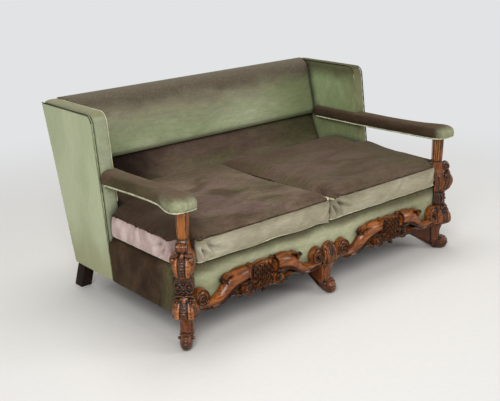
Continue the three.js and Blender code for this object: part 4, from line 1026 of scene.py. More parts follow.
def arm_cord():
    """The twisted cord along the lower edge, from the wing round the front and back along the inside."""
    outer = []
    inner = []
    for along in list(np.linspace(0.03, 0.86, 26)) + [0.9, 0.93, 0.95, 0.965, 0.975]:
        y, x0, x1, z0, z1 = arm_row(along)
        outer.append((x1 - 0.003, y, z0 - 0.0005))
        inner.append((x0 + 0.003, y, z0 - 0.0005))
    line = [p for p in outer if p[1] < ARM_REAR_Y - 0.006] + inner[::-1]
    line += [(ARM_INNER + 0.0025, y, ARM_BASE) for y in (0.12, 0.2, 0.28, 0.355)]
    path = smooth_line(line, 520)
    for turn in range(70):
        path[1:-1] = 0.25 * path[:-2] + 0.5 * path[1:-1] + 0.25 * path[2:]
    points = [Vector(point) for point in path]
    rings = []
    for i, point in enumerate(points):
        ahead = (points[min(i + 1, len(points) - 1)] - points[max(i - 1, 0)]).normalized()
        side = ahead.cross(Vector((0, 0, 1))).normalized()
        rings.append(circle(point, side, side.cross(ahead), 10,
                            lambda angle: 0.0036 * (1 + 0.2 * math.cos(2 * angle - i * 0.9))))
    return loft_mesh(rings)


pad = arm_pad()
cord = arm_cord()
for side, pad_mesh, cord_mesh in (("left", mirrored(pad.data), mirrored(cord)), ("right", pad.data, cord)):
    cover = new_object(side + "_arm_cover", pad_mesh, arm_cover)
    finished(cover, "brown_velvet", side + "_arm_pad", fill=0.8)
    finished(new_object(side + "_arm_cord", cord_mesh, cords["pale"]), "sage_velvet")
bpy.data.objects.remove(pad)

# Welts up the front edges of the wings, along their tops and on the linings
WELT_CORNER = 0.04
WELT_TURN_Z = 0.843


def wing_welt(x, low, rise):
    """A cord up the wing's front edge, round its corner and back along its top, just proud of the cloth."""
    line = [(x, wing_front_y(z) - rise, z) for z in np.linspace(low, 0.84, 24)]
    centre_y = wing_front_y(WELT_TURN_Z) + WELT_CORNER
    reach = WELT_CORNER + rise
    for k in range(1, 8):
        angle = math.radians(180 - 90 * k / 7)
        line.append((x, centre_y + math.cos(angle) * reach, WELT_TURN_Z + math.sin(angle) * reach))
    line += [(x, y, BACK_HEIGHT + rise) for y in np.linspace(centre_y + 0.02, BACK_Y - 0.006, 14)]
    return tube_mesh(smooth_line(line, 200), 0.0024)


# the name, the place from the middle, the lowest point, the rise, and the shades of the top and the front
for name, x, low, rise, top, front in (("left_wing_inner_welt", -0.7765, 0.5, 0.0085, "pale", "pale"),
                                       ("left_wing_welt", -0.8496, 0.155, 0.0012, "olive", "sage"),
                                       ("right_wing_inner_welt", 0.7765, 0.5, 0.0085, "olive", "sage"),
                                       ("right_wing_welt", 0.8496, 0.155, 0.0012, "olive", "olive")):
    welt = new_object(name, wing_welt(x, low, rise), cords[top], cords[front])
    for face in welt.data.polygons:
        if face.center.z < BACK_HEIGHT - 0.03:
            face.material_index = 1
    finished(welt, "sage_velvet")


# Carving: bands, spirals, buds and leaves in relief, which a fine remesh then fuses into one block
def band_line(path, halves, lifts, count):
    return smooth_line(np.column_stack([path, halves, lifts]), count)


def band_side(line, i):
    before, after = line[max(i - 1, 0)], line[min(i + 1, len(line) - 1)]
    along = after[:2] - before[:2]
    along /= max(np.linalg.norm(along), 1e-9)
    return np.array([-along[1], along[0]])


def band(path, halves, lifts, count=60, power=2.4, edge=0.45, across=12, base=0.0):
    """A rounded band along a line in the face plane. Rows of halves and lifts go with the path's points."""
    line = band_line(path, halves, lifts, count)
    rings = []
    for i, (u, w, half, lift) in enumerate(line):
        side = band_side(line, i) * half
        ring = []
        for s in np.linspace(-1, 1, across + 1):
            height = lift * (edge + (1 - edge) * (1 - abs(s) ** power))
            ring.append((u + side[0] * s, w + side[1] * s, height))
        ring += [(u + side[0] * s, w + side[1] * s, base) for s in (1, -1)]
        rings.append(ring)
    return rings


def rim_bead(path, halves, lifts, first, last, width=3.4, inset=4.0):
    """A raised bead along one edge of a band, between two shares of its length."""
    line = band_line(path, halves, lifts, 80)
    points, heights = [], []
    for i in range(int(first * 79), int(last * 79) + 1, 3):
        u, w, half, lift = line[i]
        across = band_side(line, i) * (half - inset)
        points.append((u - across[0], w - across[1]))
        heights.append(lift * 0.78 + 3)
    return band(points, [width] * len(points), heights, len(points) * 4, 2, 0.6, 8)


def spiral(centre, radii, halves, start, turn, squash=1.0, steps=14):
    """Centre line and half widths of a band that coils in: radii and halves go with each quarter turn."""
    path = []
    widths = []
    for q in range((len(radii) - 1) * steps // 4 + 1):
        t = q / (steps / 4)
        half = np.interp(t, range(len(halves)), halves)
        reach = np.interp(t, range(len(radii)), radii) - half
        angle = math.radians(start + turn * 90 * t)
        path.append((centre[0] + math.cos(angle) * reach * squash, centre[1] + math.sin(angle) * reach))
        widths.append(half)
    return path, widths


def ball(centre, size, rings=10, sides=16):
    """A closed round bud in face coordinates: place along, place up and relief."""
    circles = []
    for polar in (math.pi * r / rings for r in range(1, rings)):
        level = centre[2] + size[2] * math.cos(polar)
        a, b = size[0] * math.sin(polar), size[1] * math.sin(polar)
        circles.append([(centre[0] + a * math.cos(angle), centre[1] + b * math.sin(angle), level)
                        for angle in (2 * math.pi * s / sides for s in range(sides))])
    return circles


def fused(name, shells, voxel):
    """One block from many overlapping shells, in millimetres."""
    metres = [[[(u / 1000, v / 1000, w / 1000) for u, v, w in ring] for ring in rings] for rings in shells]
    return remeshed(new_object(name, joined_mesh([loft_mesh(rings) for rings in metres]), walnut), voxel, 2)


def mark_wear_and_shading(mesh, added):
    """Stores how hollow the surface is at each point, 1 in a groove, 0 on the flat and -1 on an edge, and
    how much carving lies about it. The wood paints shade into grooves and carving, and wear and highlights
    onto edges, from these."""
    count = len(mesh.vertices)
    ends = np.zeros(len(mesh.edges) * 2, int)
    mesh.edges.foreach_get("vertices", ends)
    ends = ends.reshape(-1, 2)
    ends = np.vstack([ends, ends[:, ::-1]])
    shares = np.maximum(np.bincount(ends[:, 0], minlength=count), 1)
    normals = normals_of(mesh)
    start = coordinates(mesh)
    points = start.copy()
    value = np.zeros(count)
    reach = {5: 0.0006, 24: 0.0022}
    for turn in range(1, max(reach) + 1):
        around = np.column_stack([np.bincount(ends[:, 0], points[ends[:, 1], k], count) for k in range(3)])
        points = 0.5 * points + 0.5 * around / shares[:, None]
        if turn in reach:
            value += ((points - start) * normals).sum(1) / reach[turn]
    value = np.clip(value, -1, 1)
    busy = abs(value)
    for turn in range(26):
        busy = 0.5 * busy + 0.5 * np.bincount(ends[:, 0], busy[ends[:, 1]], count) / shares
    for name, values in (("hollow", value), ("carved", busy + added)):
        mesh.attributes.new(name, "FLOAT", "POINT").data.foreach_set("value", values)


def eye(u, w, lift, radius):
    """A round button with a raised ring about it."""
    angles = [2 * math.pi * k / 24 for k in range(25)]
    ring = [(u + math.cos(angle) * radius * 1.6, w + math.sin(angle) * radius * 1.6) for angle in angles]
    return [ball((u, w, lift), (radius * 0.9,) * 3),
            band(ring, [radius * 0.3] * 25, [lift + radius * 0.2] * 25, 40, across=6)]


# Half of an apron: place from its middle, height and relief before the border, in millimetres
LATTICE = 26
LATTICE_HALF = 56
LATTICE_SLOPE = 1.1
APRON_COIL = (332, 203)
CURL = (88, 177)
SWEEP = [(80, 243), (108, 242), (142, 238), (174, 223), (203, 199), (230, 179), (260, 167), (292, 164)]
SWEEP_HALVES = [33, 36, 37, 34, 27, 23, 19, 16]
SWEEP_LIFTS = [39, 43, 44, 42, 38, 35, 33, 32]
# Each band: its line, half widths, relief, count, power and edge
APRON_BANDS = [
    ([(366, 190), (352, 170), (334, 156), (312, 149), (285, 146), (256, 147), (230, 151), (208, 161),
      (190, 171), (170, 172), (150, 164), (133, 157)], [4, 4.4, 4.6, 4.8, 5, 5, 5, 4.8, 4.6, 4.4, 4.2, 4],
     [30, 31, 32, 33, 33, 33, 33, 34, 34, 31, 28, 28], 90, 2, 0.6),
    ([(170, 262), (188, 264), (202, 259), (208, 248), (205, 236), (196, 228)], [3, 4, 4.6, 4.8, 4.2, 3],
     [41, 43, 43, 42, 40, 38], 36, 2, 0.35),
    ([(62, 280), (73, 268), (78, 248), (75, 226), (68, 210)], [4, 5, 6, 5.5, 4], [42, 47, 48, 47, 42], 30, 2,
     0.35),
    ([(56, 276), (65, 262), (68, 244), (66, 226), (60, 212)], [3, 3.6, 3.8, 3.6, 3], [42, 46, 47, 46, 42], 30,
     2, 0.35),
    ([(60, 150), (46, 158), (36, 172), (30, 190), (29, 206)], [5, 7, 7, 6, 4], [26, 34, 38, 37, 30], 30, 1.6,
     0.3)]
APRON_BUDS = [
    ((*APRON_COIL, 34), (9, 9, 10)), ((*APRON_COIL, 10), (41, 43, 21)), ((*CURL, 36), (8.5, 8.5, 9)),
    ((*CURL, 14), (33, 33, 20)), ((130, 157, 22), (11, 10, 16)), ((222, 248, 20), (9, 9, 17))]


def coiled(lead, lead_halves, lead_lifts, coil, ends, count, power, edge, across):
    """A band that runs along a line and then coils in, its relief going from one end value to the other."""
    path, halves = coil
    lifts = list(np.interp(range(len(path)), [0, len(path) - 1], ends))
    return band(lead + path, lead_halves + halves, lead_lifts + lifts, count, power, edge, across)


def crest_lift(u, base, rise):
    return base + rise * (1 - (u / LATTICE_HALF) ** 2)


def apron_half():
    end = spiral(APRON_COIL, [48, 46, 45, 42, 35, 28, 25, 22, 18, 15],
                 [14, 8, 6.5, 6, 5.5, 5, 4.6, 4.2, 3.8, 3.4], -90, 1, 0.95)
    curl = spiral(CURL, [38, 37, 36, 34, 27, 22, 18, 15], [6.5, 7, 7, 6.5, 5.6, 5, 4.2, 3.6], 60, 1)
    arm = [(205, 176), (186, 184), (168, 192), (148, 203), (128, 209)]
    shells = [coiled(SWEEP, SWEEP_HALVES, SWEEP_LIFTS, end, [31, 41], 200, 2.4, 0.3, 16),
              rim_bead(SWEEP, SWEEP_HALVES, SWEEP_LIFTS, 0.12, 0.98),
              coiled(arm, [3.5, 4.5, 5, 5.5, 6], [38, 40, 41, 41, 40], curl, [39, 43], 140, 2, 0.35, 10)]
    shells += [band(*row, 8) for row in APRON_BANDS]
    shells += [ball(*row) for row in APRON_BUDS]
    for low in range(108, 290, LATTICE):
        first, last = max(-51.0, (155 - low) / LATTICE_SLOPE), min(51.0, (271 - low) / LATTICE_SLOPE)
        if last - first > 14:
            places = np.linspace(first, last, 7)
            shells.append(band([(u, low + LATTICE_SLOPE * u) for u in places], [2, 3, 3.3, 3.3, 3.3, 3, 2],
                               [crest_lift(u, 33, 7) for u in places], 40, 1.8, 0.3, 6))
    for column in range(5):
        u = LATTICE / 2.2 * column
        for w in np.arange(108 + LATTICE / 2 * (column % 2) + LATTICE * 2, 268, LATTICE):
            if w > 160:
                shells.append(ball((u, w, crest_lift(u, 34, 6)), (4.8, 5.2, 6.5)))
    return shells


def apron_mesh():
    shells = [[[(sign * u, w, d) for u, w, d in ring] for ring in rings]
              for rings in apron_half() for sign in (1, -1)]
    plate = [(-58, 150), (58, 150), (66, 266), (0, 279), (-66, 266)]
    shells.append([[(u, w, d) for u, w in plate] for d in (0, 12, 22)])
    shells.append(ball((0, 143, 26), (11, 8, 14)))
    piece = fused("apron", shells, 0.0015)
    u, w, d = coordinates(piece.data).T
    face = BORDER_FACE - SEAM
    set_coordinates(piece.data, np.column_stack([APRON_START + u, np.minimum(face - d, face - 0.0002), w]))
    piece.data.flip_normals()
    u, w = abs(u) * 1000, w * 1000
    # more or less of the carving's stain and painted shade: less over the lattice and the coils, more about
    # the bud at the crest's end
    stain_and_shade = -0.26 * (u < LATTICE_HALF)
    for strength, x, z, reach in ((-0.2, *APRON_COIL, 40), (-0.3, *CURL, 32), (0.3, 221, 252, 16)):
        stain_and_shade += strength * bell(u, x, reach) * bell(w, z, reach)
    mark_wear_and_shading(piece.data, stain_and_shade)
    return piece


# Legs: rows give the height, the front, the back, half the width and how square the section is
POST_ROWS = [
    (596.4, 28, -26, 25, 0.5), (580, 29, -26, 25, 0.5), (520, 27, -26, 24, 0.5), (476, 25, -26, 23, 0.5),
    (466, 27, -25, 24, 0.5), (452, 34, -25, 25, 0.5), (436, 38, -24, 27, 0.6), (422, 50, -22, 32, 0.7),
    (412, 58, -20, 40, 0.75), (402, 72, -18, 46, 0.8), (388, 81, -16, 48, 0.85), (374, 84, -14, 48, 0.85),
    (358, 80, -13, 46, 0.85), (337, 70, -13, 40, 0.85), (322, 58, -13, 35, 0.8), (312, 48, -13, 34, 0.7),
    (300, 43, -13, 36, 0.6), (288, 41, -13, 37, 0.6), (262, 41, -13, 38, 0.6), (246, 42, -13, 35, 0.6)]
CUP_ROWS = [
    (238, 46, -13, 33, 0.7), (230, 52, -13, 34, 0.75), (222, 57, -13, 37, 0.8), (205, 70, -13, 45, 0.85),
    (188, 81, -13, 51, 0.85), (170, 83, -13, 54, 0.85), (158, 81, -13, 54, 0.85),
    (150, 76, -13, 52, 0.85), (145, 66, -16, 46, 0.85), (139, 52, -20, 38, 0.85)]
SHAFT_ROWS = [
    (134, 43, -21, 33, 0.8), (126, 38, -21, 31, 0.75), (104, 30, -20, 29, 0.7), (80, 28, -18, 28, 0.7),
    (68, 32, -17, 29, 0.7), (58, 36, -16, 30, 0.7), (50, 32, -15, 26, 0.7), (30, 26, -12, 20, 0.7),
    (12, 20, -8, 16, 0.7)]
CENTRE_ROWS = [
    (253, 36, 0, 8, 0.8), (249, 48, 0, 24, 0.8), (243, 58, 0, 38, 0.8), (236, 60, 0, 44, 0.8),
    (228, 62, 0, 50, 0.85), (205, 78, 0, 53, 0.85), (180, 84, 0, 54, 0.85), (158, 81, 0, 52, 0.85),
    (146, 72, 0, 48, 0.85), (136, 56, 0, 42, 0.85), (128, 44, 0, 38, 0.85)]
LOBED_PARTS = ((424, 322), (230, 148))
LEG_VOXEL = 0.0016
# the bracket behind the toe, from its top round the heel to the sole
BRACKET = [
    (0, 146), (-60, 146.8), (-188, 146.8), (-186, 132), (-176, 110), (-150, 90), (-122, 74), (-96, 60),
    (-69, 44), (-40, 26), (-16, 12), (0, 0.3), (36, 0.3), (36, 36), (20, 60)]


def carved(share, behind, z, front):
    """Relief of a leg at a share of its half width and a share of its depth behind the front; front is how
    far the surface faces forward."""
    rise = 0.0
    for top, bottom in LOBED_PARTS:
        part = (z - bottom) / (top - bottom)
        fade = min(1, max(0, (part + 0.02) / 0.1)) * min(1, max(0, (1.02 - part) / 0.1))
        if not fade:
            continue
        bead = abs(math.sin(math.pi * z / 13)) ** 0.6
        lobe = max(0, math.sin(math.pi * min(1, max(0, (share - 0.35) / 0.45)))) ** 0.7
        rise += front * fade * (bell(share, 0, 0.2) * (4.8 * bead - 3.2) - 5.5 * bell(share, 0.3, 0.05)
                                + 4.6 * lobe - 6.5 * bell(share, 0.85, 0.05))
        rise -= (1 - front) * fade * (4.0 * bell(behind, 0.42, 0.035) + 3.0 * bell(behind, 0.76, 0.035))
    if z > 470:
        rise -= front * 4.6 * bell(share, 0.8, 0.1)
        rise -= (1 - front) * 3.4 * sum(bell(behind, middle, 0.035) for middle in (0.3, 0.5, 0.7, 0.9))
    elif z < 136:
        rise -= front * 3.4 * bell(share, 0.82, 0.09)
    # grooves round the leg at both ends of the waist and at the foot of the post
    return rise - 4.5 * bell(z, 314, 2.6) - 4.0 * bell(z, 244, 2.4) - 3.5 * bell(z, 472, 2.2)


def leg_rings(rows, reach=1.0, slim=1.0, flat_back=None):
    """Level sections of a leg, in millimetres: out from the axis, across and up."""
    columns = [column[::-1] for column in zip(*rows)]
    rings = []
    for z in np.arange(columns[0][0], columns[0][-1] + 0.01, 1.5):
        out, back, half, square = (float(np.interp(z, columns[0], column)) for column in columns[1:])
        out *= reach
        half *= slim
        back = back if flat_back is None else flat_back
        turn = back + (out - back) * 0.35
        quarter = [(back + (turn - back) * k / 12, 1.0, 0.0) for k in range(12)]
        for k in range(37):
            angle = math.radians(90 - 90 * k / 36)
            c, s = abs(math.cos(angle)), math.sin(angle)
            forward = c ** (2 - square) / (out - turn)
            sideways = s ** (2 - square) / half
            quarter.append((turn + c ** square * (out - turn), s ** square,
                            forward / math.hypot(forward, sideways)))
        ring = []
        for sign, part in ((-1, quarter), (1, quarter[-2::-1])):
            for u, share, forward in part:
                behind = (out - u) / (out - back)
                facing = min(1, max(0, (forward - 0.25) / 0.35))
                rise = carved(share, behind, z, facing) if behind < 0.97 else 0.0
                sideways = math.sqrt(max(0, 1 - forward * forward))
                ring.append((u + forward * rise, sign * (share * half + sideways * rise), z))
        rings.append(ring)
    return rings


def placed(shells, place):
    """Moves rings in face coordinates onto a leg."""
    return [[[place(*point) for point in ring] for ring in rings] for rings in shells]


def on_front(parts, out):
    return placed(parts, lambda v, z, d: (out + d, v, z))


def on_side(parts, side, out):
    return placed(parts, lambda u, z, d: (u, side * (out + d), z))


def side_bud(size, side, v, z):
    return placed([ball((0, 0, 0), size)], lambda a, b, c: (30 + a, side * (v + c), z + b))


def roll(u, z, radius, half, round_end=6.0):
    """A short roll lying across the leg, with rounded ends."""
    rings = []
    for s in np.linspace(-0.995, 0.995, 25):
        size = radius * (1 - abs(s) ** round_end) ** 0.4
        rings.append([(u + math.cos(a) * size, s * half, z + math.sin(a) * size)
                      for a in np.linspace(0, 2 * math.pi, 33)[:-1]])
    return rings


def toe_ball(u, z, radius, half):
    """The rolled toe: a flattened ball with lines round its front."""
    rings = []
    for s in np.linspace(-0.998, 0.998, 33):
        size = radius * (1 - abs(s) ** 2.4) ** 0.5
        ring = []
        for a in np.linspace(-math.pi, math.pi, 97)[:-1]:
            line = sum(bell(a, math.radians(middle), 0.09) for middle in (-26, 8, 38, 66))
            reach = size * (1 - 0.085 * line * (1 - s * s))
            ring.append((u + math.cos(a) * reach, s * half, z + math.sin(a) * reach))
        rings.append(ring)
    return rings


def side_scroll(u, z, radius, side, out, start=150, dome=0.0):
    """A spiral with a button in its middle, on the side of a leg."""
    radii = [radius * share for share in (1, 0.95, 0.9, 0.84, 0.72, 0.6, 0.5, 0.42)]
    halves = [radius * share for share in (0.17, 0.16, 0.15, 0.14, 0.13, 0.12, 0.11, 0.1)]
    path, widths = spiral((u, z), radii, halves, start, -1)
    lifts = [4 + dome * (1 - ((a - u) ** 2 + (b - z) ** 2) / radius ** 2) for a, b in path]
    button = ball((u, z, dome), (radius * 0.24, radius * 0.24, 6))
    return on_side([band(path, widths, lifts, 80, 2, 0.4, 8, -8), button], side, out)


def foot_shells(size):
    """The toe, its spirals and collar, and the bracket behind it."""
    shells = [toe_ball(36, size - 1, size, 27), roll(35, size + 19, 5.5, 31), roll(33, size + 30, 3.5, 30)]
    for side in (1, -1):
        shells += side_scroll(36, size - 1, size * 0.86, side, 12, 120, 10)
        shells += placed([ball((0, 0, 0), (8, 7, 6))],
                         lambda a, b, c: (34 + a, side * (30 + c), size + 15 + b))
        bead = [(u + 3, z + 5) for u, z in smooth_line(BRACKET[3:11], 30)]
        shells += on_side([band(bead, [2.6] * 30, [2.4] * 30, 60, 2, 0.5, 6, -3)], side, 16.2)
    outline = BRACKET[:2] + [tuple(p) for p in smooth_line(BRACKET[2:12], 40)] + BRACKET[12:]
    plate = []
    for v, inset in ((-17, 3.0), (-16, 1.0), (-14, 0), (14, 0), (16, 1.0), (17, 3.0)):
        plate.append([(u, v * (0.55 if z < 20 and u > -30 else 1),
                       min(max(z + (inset if z < 130 else 0), 0), 146.8)) for u, z in outline])
    return shells + [plate]


# Relief on both halves of a front. Each row: how far out, the line, half widths, relief, count, edge,
# points across and base.
CORNER_BANDS = [
    # ears at the top of the knee
    (50, [(12, 426), (21, 418), (33, 416), (44, 410), (48, 397)], [3, 4, 4.5, 4.5, 3.5],
     [14, 17, 17, 12, 6], 30, 0.4, 8, -10),
    # curling leaves on the block between the knee and the cup
    (37, [(30, 290), (21, 293), (12, 287), (11, 275), (20, 268), (30, 270)], [1.6, 2.6, 3, 3, 2.8, 1.6],
     [6, 9, 10, 10, 8, 4], 36, 0.3, 6, -6),
    (36, [(4, 252), (8, 262), (6, 278), (10, 294), (22, 301), (34, 294), (37, 278)],
     [2.4, 3.2, 3.2, 3.4, 3.4, 3.2, 2.4], [9, 11, 12, 12, 11, 8, 5], 40, 0.3, 8, -6),
    (36, [(36, 260), (28, 254), (18, 255), (10, 262)], [3, 3.6, 3.6, 2.6], [6, 10, 11, 9], 30, 0.3, 8, -6),
    # leaf cuff over the cup
    (42, [(0, 240), (12, 242), (24, 240), (34, 235), (39, 225)], [4, 4.5, 4.5, 4, 3], [13, 12, 9, 3, -4], 30,
     0.5, 8, -16)]
CENTRE_BANDS = [
    (40, [(5, 233), (8, 214), (9, 190), (7, 166), (5, 146)], [3, 5.4, 6, 5.4, 3], [11, 18, 20, 19, 12], 40,
     0.3, 8, -16),
    (38, [(20, 228), (27, 210), (30, 188), (28, 164), (20, 144)], [3, 5.4, 6, 5.4, 3], [4, 9, 10, 9, 2], 40,
     0.3, 8, -16)]


def front_bands(rows, side):
    shells = []
    for out, line, halves, lifts, count, edge, across, base in rows:
        turned = [(side * v, z) for v, z in line]
        shells += on_front([band(turned, halves, lifts, count, 2, edge, across, base)], out)
    return shells


def corner_leg_mesh():
    shells = [leg_rings(POST_ROWS + CUP_ROWS + SHAFT_ROWS), roll(44, 448, 18, 24), roll(44, 448, 19.6, 9, 3)]
    for side in (1, -1):
        for u, z, radius, out in ((43, 448, 21, 21), (50, 398, 19, 44), (48, 204, 17, 41)):
            shells += side_scroll(u, z, radius, side, out)
        shells += front_bands(CORNER_BANDS, side)
        shells += on_front(eye(side * 35, 404, 12, 7.5) + eye(side * 27, 221, 11, 6.5), 50)
        shells += on_front([ball((side * 22, 280, 7), (5.4, 5.8, 6))], 38)
        # curled tips and folds at the sides of both lobed parts
        shells += side_bud((11, 7, 7), side, 50, 152) + side_bud((11, 7, 7), side, 36, 325)
        for z, u0, u1, v in ((156, 4, 58, 50), (330, 2, 48, 37)):
            line = [(u0, z - 2), ((u0 + u1) / 2, z - 7), (u1, z - 1)]
            shells += on_side([band(line, [3, 4, 3], [3, 4.5, 3], 24, 2, 0.4, 8, -8)], side, v - 2)
        # veins on the side of the waist
        for u in (0, 13, 26):
            vein = band([(u, 302), (u + 4, 286), (u + 3, 268), (u - 2, 252)], [2.2, 3.4, 3.4, 2.2],
                        [3.4, 5, 5, 3.4], 24, 2, 0.3, 6, -6)
            shells += on_side([vein], side, 35)
    # beads down the middle of the waist
    shells += on_front([ball((0, z, 7), (3.6, 4.6, 5)) for z in range(258, 306, 12)], 38)
    return leg_mesh("leg", shells + foot_shells(37))


def centre_leg_mesh():
    shells = [leg_rings(CENTRE_ROWS, 0.72, 0.72, 18.3), leg_rings([(147, 44, -20, 34, 0.8)] + SHAFT_ROWS)]
    for side in (1, -1):
        shells += on_front(eye(side * 15, 238, 4, 5.5), 36)
        shells += front_bands(CENTRE_BANDS, side) + side_bud((9, 6, 7), side, 36, 146)
    shells += on_front([ball((0, 246, 6), (6, 8, 8))], 34)
    beads = [ball((0, z, 14 + 4 * bell(z, 190, 40)), (3.2, 5, 6)) for z in range(160, 232, 11)]
    shells += on_front(beads, 40)
    return leg_mesh("centre", shells + foot_shells(34))


def leg_mesh(name, shells):
    piece = fused(name, shells, LEG_VOXEL)
    points = coordinates(piece.data)
    points[:, 2] = np.clip(points[:, 2], 0.0003, 0.5964)
    set_coordinates(piece.data, points)
    v, z = abs(points[:, 1]) * 1000, points[:, 2] * 1000
    # more of the carving's stain and painted shade on the waist, set back under the knee, and on the beaded
    # bands; less on the post, the smooth lobes and the centre leg
    if name == "leg":
        stain_and_shade = 0.25 * (z > 240) * (z < 316) - 0.16 * (z > 474)
        for top, bottom in LOBED_PARTS:
            within = (z < top - 14) * (z > bottom + 6)
            stain_and_shade += within * (0.32 * (v < 9) - 0.3 * bell(v, 27, 12))
    else:
        stain_and_shade = np.full(len(points), -0.1)
    mark_wear_and_shading(piece.data, stain_and_shade)
    return piece


def turned_mesh(mesh, angle, x, y):
    mesh.transform(Matrix.Translation((x, y, 0)) @ Matrix.Rotation(math.radians(angle), 4, "Z"))
    return mesh


def carving_of(name, mesh, node, material=walnut):
    finished(new_object(name, mesh, material), "walnut", node)


leg, middle_leg, apron = corner_leg_mesh(), centre_leg_mesh(), apron_mesh()
right_leg = turned_mesh(leg.data, -45, LEG_X, LEG_Y)
left_leg = mirrored(right_leg)
left_apron = mirrored(apron.data)
carving_of("right_carved_leg", right_leg, "right_front_leg")
carving_of("left_carved_leg", left_leg, "left_front_leg")
carving_of("carved_centre_leg", turned_mesh(middle_leg.data, -90, 0, CENTRE_LEG_Y), "centre_leg")
carving_of("right_carved_apron", apron.data, "right_apron", walnut_across)
carving_of("left_carved_apron", left_apron, "left_apron", walnut_across)
for piece in (leg, middle_leg, apron):
    bpy.data.objects.remove(piece)


# the side border's cloth is turned in before the end of the rail, up to the leg
turn_in = [
    (0.8498, -0.39), (0.838, -0.4), (0.826, -0.412), (0.819, -0.4275), (0.829, -0.4235), (0.842, -0.413),
    (0.8498, -0.402)]
flap = loft_mesh([[(x, y, z) for x, y in turn_in] for z in np.linspace(0.1485, 0.31, 12)])

# Covers that keep the outline of their solids: node, cloth, slot, voxel, rounds, ripple, its size and seed
stuffed("front_border", front_cover, "sage_velvet", 0.005, 8, 0.0015, 0.16, 2.0)
for side, extra in (("left", mirrored(flap)), ("right", flap)):
    stuffed(side + "_side_border", side_cover, "brown_velvet", 0.003, 3, 0.002, 0.16, 3.0, [extra])
    stuffed(side + "_outer_wing_panel", wing_cover, "sage_velvet", 0.005, 4, 0.0012, 0.2, 4.0)
    stuffed(side + "_wing_pad", wing_linings[side], "sage_velvet", 0.004, 10, 0.0015, 0.16, 5.0)
stuffed("outside_back_panel", outside_cover, "sage_velvet", 0.0035, 3, 0.001, 0.16, 6.0)
stuffed("platform_cover", deck_cover, "brown_velvet", 0.003, 3, 0.0006, 0.16, 7.0)
stuffed("seat_stuffing", wadding, "stuffing", 0.005, 4, 0.002, 0.05, 8.0)


# Layers of cloth and webbing under the seat and behind the pads
WEB_X = 0.82
WEB_FRONT = -0.441
WEB_BACK = 0.2995
WEB_CORNER = 0.06
STRIP = 0.05
STRIP_THICKNESS = 0.0013
CLOTH_PITCH = 0.025
SEAT_FRONT = -0.3907
SEAT_REAR = 0.2981
BACK_WEB_X = 0.7827
BACK_WEB_LOW = 0.306
BACK_WEB_HIGH = 0.8677


def cloth_layer(name, corners, base, thickness, sag, material):
    """A stretched cloth over a plan, tacked round its edge and a little slack in the middle."""
    loop = rounded_plan(corners, 0.003, CLOTH_PITCH)
    flat, plan, triangles, origins = triangulated(loop, inside_points(loop, CLOTH_PITCH))
    low = []
    for p in plan:
        gap = math.sqrt(((loop - np.array(p)) ** 2).sum(1).min())
        uneven = 0.0004 * noise.noise(Vector((p.x * 18, p.y * 18, base))) * min(gap / 0.02, 1)
        low.append((p.x, p.y, base - sag * (1 - math.exp(-gap / 0.2)) - uneven))
    total = len(low)
    faces = []
    rim = {}
    for a, b, c in triangles:
        if (plan[b] - plan[a]).cross(plan[c] - plan[a]) < 0:
            b, c = c, b
        faces += [(a + total, b + total, c + total), (c, b, a)]
        rim.update({(a, b): True, (b, c): True, (c, a): True})
    faces += [(a, b, b + total, a + total) for a, b in rim if (b, a) not in rim]
    verts = low + [(x, y, z + thickness) for x, y, z in low]
    return new_object(name, mesh_of(verts, faces), material)


def strap(start, end, across, up, pitch, phase):
    """A strip that goes over and under the strips it crosses."""
    start, end, across, up = Vector(start), Vector(end), Vector(across), Vector(up)
    along = end - start
    count = max(int(along.length / 0.008), 8)
    section = [(-1, -1), (-0.33, -1), (0.33, -1), (1, -1), (1, 1), (0.33, 1), (-0.33, 1), (-1, 1)]
    rings = []
    for s in range(count + 1):
        travel = along.length * s / count
        wave = 0.0008 * math.cos(math.pi * (travel - STRIP / 2) / pitch + phase)
        middle = start + along * (s / count) + up * wave
        rings.append([middle + across * side * STRIP / 2 + up * lift * STRIP_THICKNESS / 2
                      for side, lift in section])
    return loft_mesh(rings)


def webbing(name, low, high, across_count, along_count, inset, place, up):
    """Two sets of interlaced strips between two corners of a plane, which place turns into points."""
    pitch_a = (high[0] - low[0] - 2 * inset - STRIP) / (across_count - 1)
    pitch_b = (high[1] - low[1] - STRIP) / (along_count - 1)
    meshes = []
    for i in range(across_count):
        a = low[0] + inset + STRIP / 2 + i * pitch_a
        meshes.append(strap(place(a, low[1]), place(a, high[1]), (1, 0, 0), up, pitch_b, math.pi * i))
    for j in range(along_count):
        b = low[1] + STRIP / 2 + j * pitch_b
        end = inset if j in (0, along_count - 1) else 0
        across = (Vector(place(0, b + 0.01)) - Vector(place(0, b))).normalized()
        meshes.append(strap(place(low[0] + end, b), place(high[0] - end, b), across, up, pitch_a,
                            math.pi * (j + 1)))
    return new_object(name, joined_mesh(meshes), jute)


